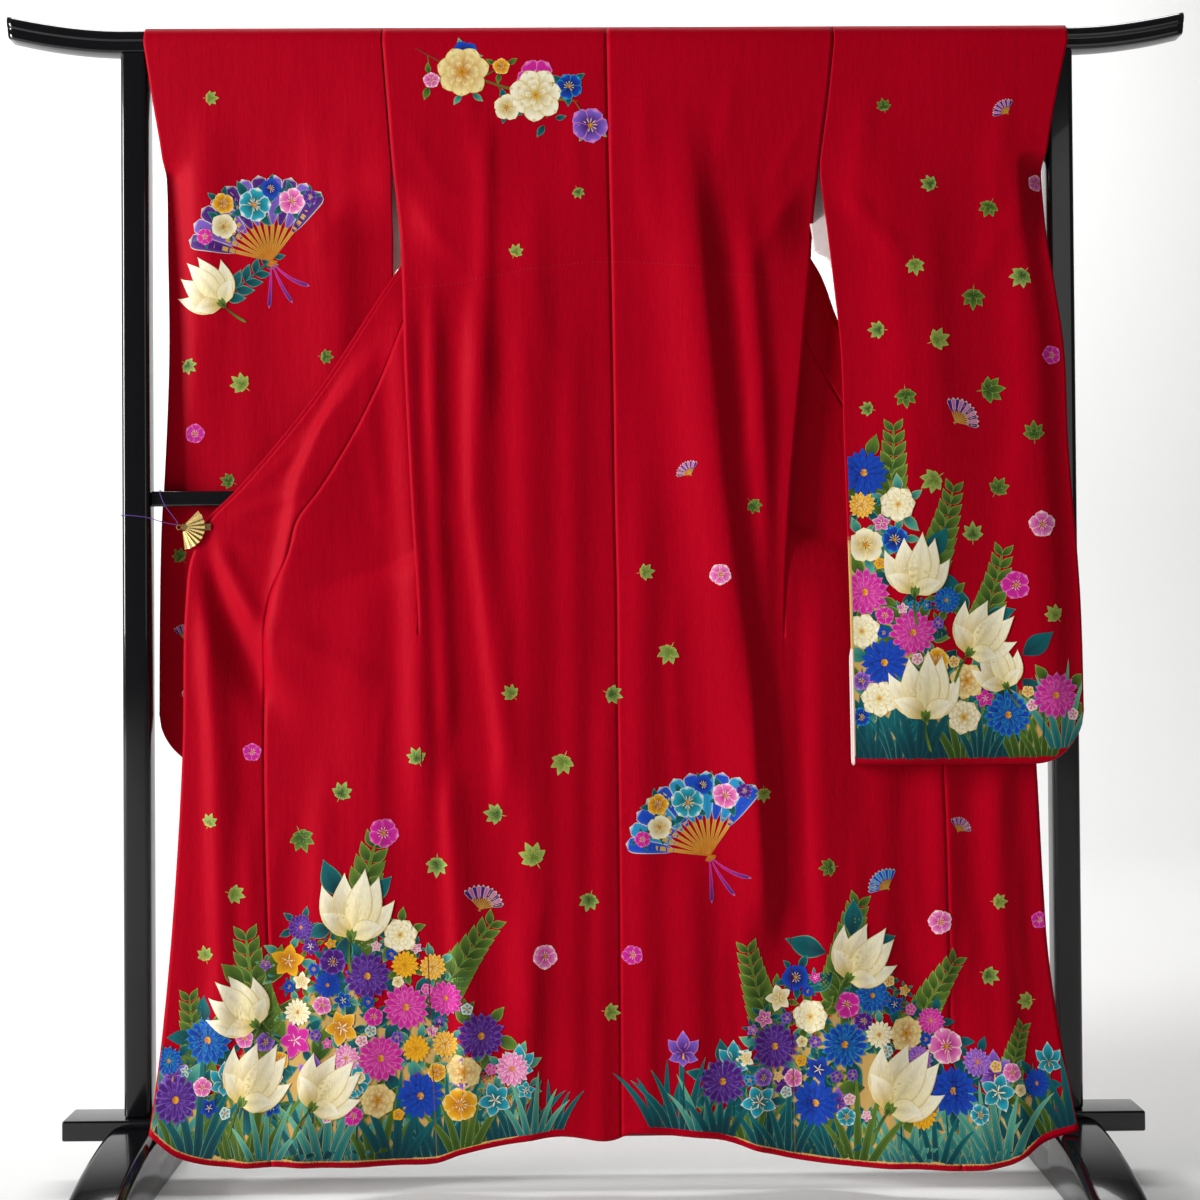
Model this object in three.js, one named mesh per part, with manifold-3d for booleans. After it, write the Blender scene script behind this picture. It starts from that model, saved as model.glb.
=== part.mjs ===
// A long-sleeved silk furisode kimono, hung by its shoulders over a black lacquered kimono stand.
// Millimetres, +Z up. X runs along the rail, -Y is the side that the back of the kimono faces,
// and the origin is on the floor between the two feet.
import * as THREE from 'three';
import Module from 'manifold-3d';
import { mergeVertices } from 'three/addons/utils/BufferGeometryUtils.js';

const wasm = await Module();
wasm.setup();

// ---------------------------------------------------------------- sizes

const SEAM = 0.6; // air between two pieces that are sewn edge to edge
const FIT = 0.3; // air between two wooden pieces that touch
const CLOTH = 2; // crepe, lining and the air between them

const RAIL = {
  halfLength: 852, top: 1665.2, height: 36, halfDepth: 15, round: 14.9,
  chamfer: 4, sweepFrom: 690, tipRise: 21, tipSlant: 4, sweepPower: 1.8,
  groove: 1.2, grooveBelow: 9, grooveAbove: 4, grooveSlope: 1.5, // the groove along each side
};
const POST = { x: 670, width: 40, depth: 34, round: 8 };
const MIDDLE_RAIL = { bottom: 973, top: 995, halfDepth: 10, round: 3 };
const BAR = { halfLength: 774, bottom: 67, top: 96, halfDepth: 28.6, round: 3 };
const FOOT = { x: 670, width: 78, halfLength: 270, height: 86, toe: 14, round: 14, arch: 0.6 };

// How the cloth turns over the rail: half an oval in the plane across the rail.
const TURN = { z: 1640, halfDepth: 20.5, rise: 27, steps: 10 };

// Seam lines of the two back panels, by height: armhole and side seam on each side, centre seam.
const BACK = [
  { z: 1660, left: -312, centre: 13, right: 343, depth: -20.5 },
  { z: 1560, left: -304, centre: 14, right: 332, depth: -25 },
  { z: 1460, left: -296, centre: 15, right: 318, depth: -29 },
  { z: 1335, left: -284, centre: 17, right: 305, depth: -36 },
  { z: 1150, left: -277, centre: 19, right: 287, depth: -38 },
  { z: 975, left: -269, centre: 20, right: 270, depth: -40 },
  { z: 835, left: -261, centre: 22, right: 262, depth: -42 },
  { z: 690, left: -258, centre: 22, right: 258, depth: -43 },
  { z: 465, left: -254, centre: 23, right: 263, depth: -44 },
  { z: 40, left: -239, centre: 23, right: 269, depth: -46 },
];

// A front panel hangs from behind the rail, swings forward under it and spreads sideways.
// edge: X of its free edge. tuck: width that still lies behind the back panel before it turns out.
// side, rim: Y of its side seam and of its free edge.
const FRONT_LEFT = [
  { z: 1660, edge: -84, tuck: 228, side: 20.5, rim: 20.5 },
  { z: 1612, edge: -82, tuck: 225, side: 20.5, rim: 20.5 },
  { z: 1560, edge: -106, tuck: 212, side: 19, rim: 26 },
  { z: 1500, edge: -148, tuck: 190, side: 15, rim: 24 },
  { z: 1460, edge: -178, tuck: 172, side: 9, rim: 19 },
  { z: 1400, edge: -221, tuck: 153, side: -9, rim: 6 },
  { z: 1310, edge: -286, tuck: 130, side: -31, rim: -10 },
  { z: 1124, edge: -409, tuck: 90, side: -32, rim: -18 },
  { z: 995, edge: -517, tuck: 50, side: -34, rim: -19.5 },
  { z: 952, edge: -560, tuck: 33, side: -35, rim: -20 },
  { z: 900, edge: -587, tuck: 24, side: -36, rim: -22 },
  { z: 837, edge: -595, tuck: 8, side: -38, rim: -25 },
  { z: 624, edge: -599, tuck: 0, side: -41, rim: -31 },
  { z: 411, edge: -611, tuck: 0, side: -43, rim: -33.5 },
  { z: 230, edge: -627, tuck: 0, side: -44, rim: -36 },
  { z: 140, edge: -634, tuck: 0, side: -44.5, rim: -54 },
  { z: 60, edge: -640, tuck: 0, side: -45, rim: -78 },
];
const FRONT_RIGHT = [
  { z: 1660, edge: 110, tuck: 232, side: 20.5, rim: 20.5 },
  { z: 1612, edge: 108, tuck: 230, side: 20.5, rim: 20.5 },
  { z: 1560, edge: 132, tuck: 214, side: 19, rim: 26 },
  { z: 1500, edge: 175, tuck: 192, side: 15, rim: 24 },
  { z: 1460, edge: 204, tuck: 174, side: 9, rim: 19 },
  { z: 1400, edge: 250, tuck: 151, side: -9, rim: 6 },
  { z: 1310, edge: 310, tuck: 128, side: -31, rim: -10 },
  { z: 1220, edge: 346, tuck: 117, side: -32, rim: -15 },
  { z: 1124, edge: 425, tuck: 86, side: -32, rim: -18 },
  { z: 995, edge: 535, tuck: 42, side: -34, rim: -19.5 },
  { z: 952, edge: 572, tuck: 27, side: -35, rim: -20 },
  { z: 900, edge: 598, tuck: 14, side: -36, rim: -22 },
  { z: 837, edge: 606, tuck: 6, side: -38, rim: -25 },
  { z: 600, edge: 621, tuck: 0, side: -41, rim: -31 },
  { z: 411, edge: 629, tuck: 0, side: -43, rim: -33.5 },
  { z: 328, edge: 634, tuck: 0, side: -43, rim: -34.5 },
  { z: 230, edge: 646, tuck: 0, side: -44, rim: -38 },
  { z: 140, edge: 656, tuck: 0, side: -44.5, rim: -60 },
  { z: 60, edge: 664, tuck: 0, side: -45, rim: -88 },
];

// Height of the hem along the whole opened-out kimono.
const HEM = [
  { x: -640, z: 88 }, { x: -595, z: 60 }, { x: -434, z: 46 }, { x: -292, z: 38 },
  { x: -240, z: 38 }, { x: -206, z: 49 }, { x: -149, z: 62 }, { x: -64, z: 74 },
  { x: 9, z: 68 }, { x: 35, z: 76 }, { x: 106, z: 74 }, { x: 162, z: 68 },
  { x: 219, z: 51 }, { x: 276, z: 38 }, { x: 345, z: 33 }, { x: 419, z: 35 },
  { x: 562, z: 44 }, { x: 612, z: 72 }, { x: 664, z: 86 },
];

// Sleeves by height. inner, outer: X of the open body-side edge and of the cuff-side edge.
// near, far: Y of the layer on the -Y side and of the layer on the +Y side.
const SLEEVE_LEFT = [
  { z: 1640, inner: -311, outer: -654, near: -20.5, far: 20.5 },
  { z: 1560, inner: -303, outer: -642, near: -20, far: 22 },
  { z: 1465, inner: -297, outer: -629, near: -13, far: 23 },
  { z: 1340, inner: -299, outer: -628, near: -1, far: 23 },
  { z: 1197, inner: -300, outer: -628, near: 7, far: 23 },
  { z: 1010, inner: -300, outer: -637, near: 13.5, far: 25 },
  { z: 955, inner: -300, outer: -641, near: 13.5, far: 26 },
  { z: 838, inner: -301, outer: -644, near: 12, far: 26 },
  { z: 600, inner: -302, outer: -646, near: 12, far: 26 },
];
const SLEEVE_RIGHT = [
  { z: 1640, inner: 341, outer: 681, near: -20.5, far: 20.5 },
  { z: 1563, inner: 331, outer: 663, near: -25, far: 22 },
  { z: 1500, inner: 324, outer: 650, near: -30, far: 21 },
  { z: 1451, inner: 319, outer: 642, near: -35, far: 8 },
  { z: 1400, inner: 322, outer: 640, near: -42, far: -14 },
  { z: 1340, inner: 327, outer: 641, near: -50, far: -36 },
  { z: 1284, inner: 332, outer: 648, near: -56, far: -43 },
  { z: 1187, inner: 341, outer: 660, near: -60, far: -46 },
  { z: 1056, inner: 344, outer: 664, near: -62, far: -47 },
  { z: 828, inner: 350, outer: 679, near: -63, far: -47 },
  { z: 600, inner: 353, outer: 683, near: -62, far: -47 },
];
const SLEEVE = {
  bottom: 602, corner: 72, cuffEnd: 1450, cuffEase: 30, sewnTo: 1455, pinchFrom: 0.86,
  seamGap: 1.02, seamShare: 0.3, seamFrom: 1350, seamOver: 100,
};
const SLEEVE_STATIONS = [0, 0.12, 0.28, 0.44, 0.6, 0.74, 0.84, 0.9, 0.95, 0.985, 1];
const SLEEVE_LEVELS = [
  0, 0.06, 0.14, 0.24, 0.34, 0.44, 0.54, 0.62, 0.68, 0.72, 0.76, 0.8, 0.84, 0.88, 0.92, 0.96, 1,
];

// Soft vertical folds: X of the crest at the top, middle and bottom of its run, and its form.
const BACK_FOLDS = [
  { top: -150, middle: -170, bottom: -150, from: 1400, to: 40, halfWidth: 38, height: 9 },
  { top: -70, middle: -40, bottom: -45, from: 1150, to: 40, halfWidth: 30, height: 6 },
  { top: 60, middle: 75, bottom: 80, from: 1300, to: 40, halfWidth: 34, height: 7 },
  { top: 130, middle: 140, bottom: 160, from: 1560, to: 40, halfWidth: 28, height: 9 },
  { top: 235, middle: 215, bottom: 225, from: 1300, to: 60, halfWidth: 24, height: 6 },
];
const WING_FOLDS_LEFT = [
  { top: -400, middle: -440, bottom: -476, from: 1130, to: 640, halfWidth: 20, height: 9 },
  { top: -560, middle: -530, bottom: -520, from: 900, to: 120, halfWidth: 22, height: 9 },
  { top: -330, middle: -330, bottom: -345, from: 1050, to: 60, halfWidth: 30, height: 6 },
];
const WING_FOLDS_RIGHT = [
  { top: 400, middle: 405, bottom: 400, from: 1080, to: 60, halfWidth: 30, height: 7 },
  { top: 575, middle: 560, bottom: 575, from: 900, to: 120, halfWidth: 24, height: 9 },
  { top: 470, middle: 495, bottom: 480, from: 980, to: 500, halfWidth: 20, height: 7 },
];

const PANEL = {
  neckColumns: 10, // columns from the side seam to the neck
  innerColumns: 3, // columns from the neck to the centre seam
  backRows: 20,
  frontRows: 22,
  bend: 6, // roundness where a front panel turns out from behind the back
  bodyWidth: 232, // side seam to the seam of the overlap panel
};
const LAYERS = {
  lift: 3.4, // the back's side seam stands off the front that is tucked behind it
  liftTuck: 24, // tucked width from which the whole lift is needed
  seamTop: 1335, // height where the side seams begin, and how they part above it
  seamOver: 115,
  backEase: 60, // width from the side seam in which the back reaches its own depth
  foldsFrom: 6, // the folds start and swell at these distances from the side seam
  foldsOver: 40,
};
const WING = {
  before: 8, // the turned-out cloth comes forward over these widths, the more the less is tucked
  afterLoose: 240,
  afterTight: 14,
  tightTuck: 30,
  foldsFrom: 20, // its folds die out towards the turn and towards its free edge
  foldsOver: 40,
  foldsEnd: 45,
};
const HEM_LEVEL = 60; // where the width of the spread hem is read
const OKUMI = { columns: 4, least: 10 };
const COLLAR = {
  lowest: 944, neckLevel: 1612, band: 6.5, show: 8, hidden: 40, offset: 3.4,
  rows: 8, sideColumns: 9, cornerColumns: 6, neckColumns: 6, neckLeft: -74, neckRight: 98,
  hideFrom: 12, hideOver: 170, showFrom: 52, showOver: 120, overTurn: 0.47,
};

const CLIP = {
  x: -600, y: -25, z: 942, inner: 7, outer: 33, from: -83, to: 45, pleats: 9,
  pleatDepth: 1.1, plate: 1.2,
};
const JAW = { reach: 41, height: 9, front: -23, back: -14.4, leaf: 1.1 };
const RING = { x: -605.8, y: -20, radius: 3.6, wire: 0.9 };
const THREAD = { radius: 0.6, sides: 8, steps: 50, clear: 0.8 };

// ---------------------------------------------------------------- small tools

const mix = THREE.MathUtils.lerp;
const smooth = (value) => THREE.MathUtils.smoothstep(value, 0, 1);

// A smooth curve through one column of a table, read by another column.
function track(rows, column, by = 'z') {
  const ordered = [...rows].sort((a, b) => a[by] - b[by]);
  const spline = new THREE.CubicInterpolant(
    ordered.map((row) => row[by]), ordered.map((row) => row[column]), 1);
  return (at) => spline.evaluate(at)[0];
}

// The same for several columns at once.
function tracks(rows, columns) {
  return Object.fromEntries(columns.map((column) => [column, track(rows, column)]));
}

// Height of a set of rounded folds over a flat cloth, at one place.
function foldsAt(folds, x, z) {
  let height = 0;
  for (const fold of folds) {
    const along = THREE.MathUtils.clamp((fold.from - z) / (fold.from - fold.to), 0, 1);
    const crest = along < 0.5
      ? mix(fold.top, fold.middle, along * 2)
      : mix(fold.middle, fold.bottom, along * 2 - 1);
    const swell = z > fold.from ? 0 : smooth(along * 4);
    height += fold.height * swell * Math.exp(-(((x - crest) / fold.halfWidth) ** 2));
  }
  return height;
}

// A named solid.
function meshFrom(name, geometry, material) {
  const mesh = new THREE.Mesh(geometry, material);
  mesh.name = name;
  return mesh;
}

// A geometry from points and triangles that share them.
function solidGeometry(points, triangles) {
  const geometry = new THREE.BufferGeometry();
  geometry.setAttribute('position', new THREE.Float32BufferAttribute(
    points.flatMap((point) => point.toArray()), 3));
  geometry.setIndex(triangles.flat());
  geometry.computeVertexNormals();
  return geometry;
}

// A sheet is a list of points and of four-sided cells, counter-clockwise from its outer face.
function gridSheet(columns, rows, pointAt) {
  const points = [];
  const cells = [];
  for (let j = 0; j <= rows; j += 1) {
    for (let i = 0; i <= columns; i += 1) {
      points.push(pointAt(i, j));
    }
  }
  for (let j = 0; j < rows; j += 1) {
    for (let i = 0; i < columns; i += 1) {
      const a = j * (columns + 1) + i;
      cells.push([a, a + 1, a + columns + 2, a + columns + 1]);
    }
  }
  return { points, cells };
}

// The same sheet with its faces turned round, for the mirrored half.
function flipSheet(sheet) {
  return { points: sheet.points, cells: sheet.cells.map((cell) => [...cell].reverse()) };
}

// Gives a sheet its thickness: half to each face, with a rim along every free edge.
function thicken(sheet, wall) {
  const count = sheet.points.length;
  const normals = sheet.points.map(() => new THREE.Vector3());
  const edges = new Map();
  for (const cell of sheet.cells) {
    const [a, b, c, d] = cell.map((index) => sheet.points[index]);
    const normal = new THREE.Vector3().crossVectors(c.clone().sub(a), d.clone().sub(b));
    cell.forEach((index) => normals[index].add(normal));
    cell.forEach((from, corner) => edges.set(`${from}_${cell[(corner + 1) % 4]}`, true));
  }
  const outer = sheet.points.map((point, index) => (
    point.clone().addScaledVector(normals[index].clone().normalize(), wall / 2)));
  const inner = sheet.points.map((point, index) => (
    point.clone().addScaledVector(normals[index].clone().normalize(), -wall / 2)));
  const triangles = [];
  for (const [a, b, c, d] of sheet.cells) {
    triangles.push([a, b, c], [a, c, d]);
    triangles.push([a + count, c + count, b + count], [a + count, d + count, c + count]);
    for (const [from, to] of [[a, b], [b, c], [c, d], [d, a]]) {
      if (!edges.has(`${to}_${from}`)) {
        triangles.push([to, from, from + count], [to, from + count, to + count]);
      }
    }
  }
  return solidGeometry([...outer, ...inner], triangles);
}

// Half an oval over the rail. turn goes from 0 on the -Y side to 1 on the +Y side.
function overRail(turn) {
  const angle = Math.PI * (1 - turn);
  return { y: TURN.halfDepth * Math.cos(angle), z: TURN.z + TURN.rise * Math.sin(angle) };
}

// ---------------------------------------------------------------- stand

function roundedRectangle(width, height, round) {
  const shape = new THREE.Shape();
  const x = width / 2;
  const y = height / 2;
  shape.moveTo(-x + round, -y);
  shape.lineTo(x - round, -y);
  shape.absarc(x - round, -y + round, round, -Math.PI / 2, 0);
  shape.lineTo(x, y - round);
  shape.absarc(x - round, y - round, round, 0, Math.PI / 2);
  shape.lineTo(-x + round, y);
  shape.absarc(-x + round, y - round, round, Math.PI / 2, Math.PI);
  shape.lineTo(-x, -y + round);
  shape.absarc(-x + round, -y + round, round, Math.PI, Math.PI * 1.5);
  return shape;
}

// A straight rail or bar along X, with rounded long edges.
function straightBar(name, halfLength, size, material) {
  const height = size.top - size.bottom;
  const shape = roundedRectangle(height, size.halfDepth * 2, size.round);
  const geometry = new THREE.ExtrudeGeometry(shape, {
    depth: halfLength * 2, bevelEnabled: false, curveSegments: 3,
  });
  geometry.rotateY(Math.PI / 2);
  const mesh = meshFrom(name, geometry, material);
  mesh.position.set(-halfLength, 0, (size.top + size.bottom) / 2);
  return mesh;
}

function post(name, side, material) {
  const shape = roundedRectangle(POST.width, POST.depth, POST.round);
  const foot = BAR.top + FIT;
  const head = RAIL.top - RAIL.height - FIT;
  const geometry = new THREE.ExtrudeGeometry(shape, {
    depth: head - foot, bevelEnabled: false, curveSegments: 3,
  });
  const mesh = meshFrom(name, geometry, material);
  mesh.position.set(side * POST.x, 0, foot);
  return mesh;
}

// Half of the top rail's section, from its flat underside up to its round top.
function railSection() {
  const base = RAIL.top - RAIL.height;
  const middle = RAIL.top - RAIL.round;
  const half = [
    [RAIL.halfDepth - RAIL.chamfer, base],
    [RAIL.halfDepth, base + RAIL.chamfer],
    [RAIL.halfDepth, middle - RAIL.grooveBelow],
    [RAIL.halfDepth - RAIL.groove, middle - RAIL.grooveBelow + RAIL.grooveSlope],
    [RAIL.halfDepth - RAIL.groove, middle - RAIL.grooveAbove - RAIL.grooveSlope],
    [RAIL.halfDepth, middle - RAIL.grooveAbove],
  ];
  const crownSteps = 5;
  for (let step = 0; step < crownSteps; step += 1) {
    const angle = (step / crownSteps) * Math.PI / 2;
    half.push([RAIL.round * Math.cos(angle), middle + RAIL.round * Math.sin(angle)]);
  }
  const mirrored = half.map(([y, z]) => [-y, z]).reverse();
  return [...half, [0, RAIL.top], ...mirrored];
}

// The top rail runs straight between the posts and sweeps up at both tips.
function topRail(material) {
  const section = railSection();
  const outward = [0.75, 0.8, 0.85, 0.9, 0.95, 0.985, 1];
  const stations = [...outward.map((share) => -share).reverse(), ...outward];
  const middle = RAIL.top - RAIL.height / 2;
  const points = [];
  for (const station of stations) {
    const reach = Math.max(0, Math.abs(station) * RAIL.halfLength - RAIL.sweepFrom);
    const rise = RAIL.tipRise * (reach / (RAIL.halfLength - RAIL.sweepFrom)) ** RAIL.sweepPower;
    const slant = Math.abs(station) === 1 ? RAIL.tipSlant : 0;
    for (const [y, z] of section) {
      const lean = slant * Math.sign(station) * (z - middle) / RAIL.height;
      points.push(new THREE.Vector3(station * RAIL.halfLength + lean, y, z + rise));
    }
  }
  const loop = section.length;
  const triangles = [];
  for (let s = 0; s < stations.length - 1; s += 1) {
    for (let i = 0; i < loop; i += 1) {
      const a = s * loop + i;
      const b = s * loop + ((i + 1) % loop);
      triangles.push([a, b, b + loop], [a, b + loop, a + loop]);
    }
  }
  const last = (stations.length - 1) * loop;
  const outline = section.map(([y, z]) => new THREE.Vector2(y, z));
  for (const [a, b, c] of THREE.ShapeUtils.triangulateShape(outline, [])) {
    triangles.push([a, c, b], [last + a, last + b, last + c]);
  }
  return meshFrom('top_rail', solidGeometry(points, triangles), material);
}

// Half the outline of a foot's section: flat below, with rounded upper corners.
function footSection(height) {
  const half = FOOT.width / 2;
  const round = Math.min(FOOT.round, height * 0.7);
  const points = [new THREE.Vector2(half, 0)];
  for (let step = 0; step <= 3; step += 1) {
    const angle = (step / 3) * Math.PI / 2;
    points.push(new THREE.Vector2(
      half - round + round * Math.cos(angle), height - round + round * Math.sin(angle)));
  }
  const mirrored = points.map((point) => new THREE.Vector2(-point.x, point.y)).reverse();
  return [...points, ...mirrored];
}

// A closed solid from equal outlines that follow each other along Y.
function loftAlongY(stations, outlineAt) {
  const points = [];
  for (const y of stations) {
    outlineAt(y).forEach((point) => points.push(new THREE.Vector3(point.x, y, point.y)));
  }
  const outline = outlineAt(stations[0]);
  const loop = outline.length;
  const triangles = [];
  for (let s = 0; s < stations.length - 1; s += 1) {
    for (let i = 0; i < loop; i += 1) {
      const a = s * loop + i;
      const b = s * loop + ((i + 1) % loop);
      triangles.push([a, b + loop, b], [a, a + loop, b + loop]);
    }
  }
  const last = (stations.length - 1) * loop;
  for (const [a, b, c] of THREE.ShapeUtils.triangulateShape(outline, [])) {
    triangles.push([a, b, c], [last + a, last + c, last + b]);
  }
  return solidGeometry(points, triangles);
}

function manifoldOf(geometry) {
  const plain = geometry.clone();
  plain.deleteAttribute('normal');
  plain.deleteAttribute('uv');
  const merged = mergeVertices(plain);
  return new wasm.Manifold(new wasm.Mesh({
    numProp: 3,
    vertProperties: new Float32Array(merged.attributes.position.array),
    triVerts: new Uint32Array(merged.index.array),
  }));
}

function geometryOf(manifold) {
  const { vertProperties, triVerts } = manifold.getMesh();
  const geometry = new THREE.BufferGeometry();
  geometry.setAttribute('position', new THREE.Float32BufferAttribute(vertProperties, 3));
  geometry.setIndex(Array.from(triVerts));
  geometry.computeVertexNormals();
  return geometry;
}

// A foot lies front to back: flat below, arched above, with a slot for the bottom bar.
function foot(name, side, material) {
  const steps = 9;
  const stations = Array.from({ length: steps * 2 + 1 }, (_, i) => (
    FOOT.halfLength * Math.sin((i / steps - 1) * Math.PI / 2)));
  const crown = (y) => Math.max(
    FOOT.toe, FOOT.height * (1 - (y / FOOT.halfLength) ** 2) ** FOOT.arch);
  const arch = loftAlongY(stations, (y) => footSection(crown(y)));
  const slotBottom = BAR.bottom - FIT;
  const slot = new THREE.BoxGeometry(
    FOOT.width * 2, (BAR.halfDepth + FIT) * 2, FOOT.height);
  slot.translate(0, 0, slotBottom + FOOT.height / 2);
  const geometry = geometryOf(manifoldOf(arch).subtract(manifoldOf(slot)));
  const mesh = meshFrom(name, geometry, material);
  mesh.position.set(side * FOOT.x, 0, 0);
  return mesh;
}

// ---------------------------------------------------------------- body of the kimono

const back = tracks(BACK, ['left', 'centre', 'right', 'depth']);
const hemAt = track(HEM, 'z', 'x');

// Roundness of the turn where a front panel comes out from behind the back: none at the rail.
function bendAt(z) {
  return mix(PANEL.bend, 0.01, smooth((z - 1550) / 50));
}

// Everything that differs between the two halves of the garment.
function half(name, sign, sideSeam, rows, wingFolds) {
  const front = tracks(rows, ['edge', 'tuck', 'side', 'rim']);
  const width = (z) => {
    const tuck = front.tuck(z);
    const turned = Math.hypot(tuck, bendAt(z)) - sign * (front.edge(z) - sideSeam(z));
    return tuck + Math.sqrt(Math.max(0, turned ** 2 - bendAt(z) ** 2));
  };
  return { name, sign, sideSeam, front, width, wingFolds };
}
const leftHalf = half('left', 1, back.left, FRONT_LEFT, WING_FOLDS_LEFT);
const rightHalf = half('right', -1, back.right, FRONT_RIGHT, WING_FOLDS_RIGHT);

// How far the side seam of the back stands off the front panel that is tucked behind it.
function sideLift(side, z) {
  return LAYERS.lift * smooth(side.front.tuck(z) / LAYERS.liftTuck);
}

// Y of the back panels' wall, nearly flat at the side seams.
function backDepth(side, x, z) {
  const inward = Math.abs(x - side.sideSeam(z));
  const sewn = side.front.side(z) - sideLift(side, z);
  const seamDepth = mix(sewn, back.depth(z), smooth((z - LAYERS.seamTop) / LAYERS.seamOver));
  const flat = mix(seamDepth, back.depth(z), smooth(inward / LAYERS.backEase));
  const swell = smooth((inward - LAYERS.foldsFrom) / LAYERS.foldsOver);
  return flat - foldsAt(BACK_FOLDS, x, z) * swell;
}

// A point of a front panel, at a distance from the side seam measured along the cloth.
// The cloth runs inward behind the back for the tucked width, then turns and runs outward.
function frontPoint(side, along, z) {
  const tuck = side.front.tuck(z);
  const bend = bendAt(z);
  const inward = Math.hypot(tuck, bend) - Math.hypot(along - tuck, bend);
  const x = side.sideSeam(z) + side.sign * (inward - SEAM / 2);
  const before = Math.min(tuck, WING.before);
  const after = mix(WING.afterLoose, WING.afterTight, smooth(tuck / WING.tightTuck));
  const turned = smooth((along - tuck + before) / (before + after));
  const flat = mix(side.front.side(z), side.front.rim(z), turned);
  const swell = smooth((along - tuck - WING.foldsFrom) / WING.foldsOver)
    * smooth((side.width(z) - along) / WING.foldsEnd);
  return new THREE.Vector3(x, flat - foldsAt(side.wingFolds, x, z) * swell, z);
}

function frontHem(side, along) {
  return hemAt(frontPoint(side, along, HEM_LEVEL).x);
}

// One length of cloth: the back from the hem up over the rail, then the front down to the hem.
function bodyPanel(side) {
  const { neckColumns, innerColumns, backRows, frontRows } = PANEL;
  const columns = neckColumns + innerColumns;
  const neckShare = Math.abs(side.front.edge(TURN.z) - side.sideSeam(TURN.z))
    / Math.abs(back.centre(TURN.z) - side.sideSeam(TURN.z));
  const shareOf = (i) => (i <= neckColumns
    ? neckShare * i / neckColumns
    : mix(neckShare, 1, (i - neckColumns) / innerColumns));
  const backX = (i, z) => mix(
    side.sideSeam(z) + side.sign * SEAM / 2, back.centre(z) - side.sign * SEAM / 2, shareOf(i));
  const halfTurn = TURN.steps / 2;

  const backSheet = gridSheet(columns, backRows + halfTurn, (i, j) => {
    if (j > backRows) {
      const { y, z } = overRail((j - backRows) / TURN.steps);
      return new THREE.Vector3(backX(i, TURN.z), y, z);
    }
    const z = mix(hemAt(backX(i, HEM_LEVEL)), TURN.z, j / backRows);
    const x = backX(i, z);
    return new THREE.Vector3(x, backDepth(side, x, z), z);
  });

  // The front shares the row of points on the crown of the rail with the back.
  const points = [...backSheet.points];
  const cells = [...backSheet.cells];
  const crown = (backRows + halfTurn) * (columns + 1);
  let previous = Array.from({ length: neckColumns + 1 }, (_, i) => crown + i);
  for (let row = 1; row <= halfTurn + frontRows; row += 1) {
    const current = [];
    for (let i = 0; i <= neckColumns; i += 1) {
      const share = i / neckColumns;
      let point;
      if (row < halfTurn) {
        const { y, z } = overRail(0.5 + row / TURN.steps);
        point = new THREE.Vector3(backX(i, TURN.z), y, z);
      } else {
        const down = (row - halfTurn) / frontRows;
        const hem = frontHem(side, share * PANEL.bodyWidth);
        const z = mix(TURN.z, hem, down);
        const reach = Math.min(PANEL.bodyWidth, side.width(z));
        point = frontPoint(side, share * reach, z);
      }
      current.push(points.length);
      points.push(point);
    }
    for (let i = 0; i < neckColumns; i += 1) {
      cells.push([previous[i], previous[i + 1], current[i + 1], current[i]]);
    }
    previous = current;
  }
  const sheet = { points, cells };
  return side.sign > 0 ? sheet : flipSheet(sheet);
}

// The overlap panel begins where the front has grown wider than the body's own cloth.
// It has the same rows of points as the body, so their sewn edges run alike.
function okumiPanel(side) {
  const { columns, least } = OKUMI;
  const start = PANEL.bodyWidth + SEAM;
  const level = (along, row) => mix(TURN.z, frontHem(side, along), row / PANEL.frontRows);
  let top = 1;
  while (side.width(level(start, top)) < start + least) {
    top += 1;
  }
  const sheet = gridSheet(columns, PANEL.frontRows - top, (i, j) => {
    const share = i / columns;
    const z = level(mix(start, side.width(HEM_LEVEL), share), top + j);
    return frontPoint(side, mix(start, side.width(z), share), z);
  });
  return side.sign > 0 ? sheet : flipSheet(sheet);
}

// The collar is sewn along the free edges, folded to the inside, and stands behind the neck.
// share is 0 on its sewn side and 1 on its free side.
function collarSide(side, share, z) {
  const below = COLLAR.neckLevel - z;
  const hidden = COLLAR.hidden * smooth((below - COLLAR.hideFrom) / COLLAR.hideOver);
  const show = COLLAR.show * smooth((below - COLLAR.showFrom) / COLLAR.showOver);
  const along = side.width(z) + mix(show, -hidden, share);
  const point = frontPoint(side, along, z);
  point.y += COLLAR.offset;
  return point;
}

// Behind the neck the collar stands from its free edge up to the crown of the rail.
// raised is 1 there, and less at the two corners, where the collar turns down the fronts.
function collarNeck(share, along, raised) {
  const sewn = COLLAR.band * (1 - share);
  const x = mix(COLLAR.neckLeft - sewn, COLLAR.neckRight + sewn, along);
  const straight = 2 / COLLAR.rows;
  const up = (1 - share) * raised;
  if (up <= straight) {
    return new THREE.Vector3(x, TURN.halfDepth, mix(COLLAR.neckLevel, TURN.z, up / straight));
  }
  const { y, z } = overRail(1 - COLLAR.overTurn * (up - straight) / (1 - straight));
  return new THREE.Vector3(x, y, z);
}

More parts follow.
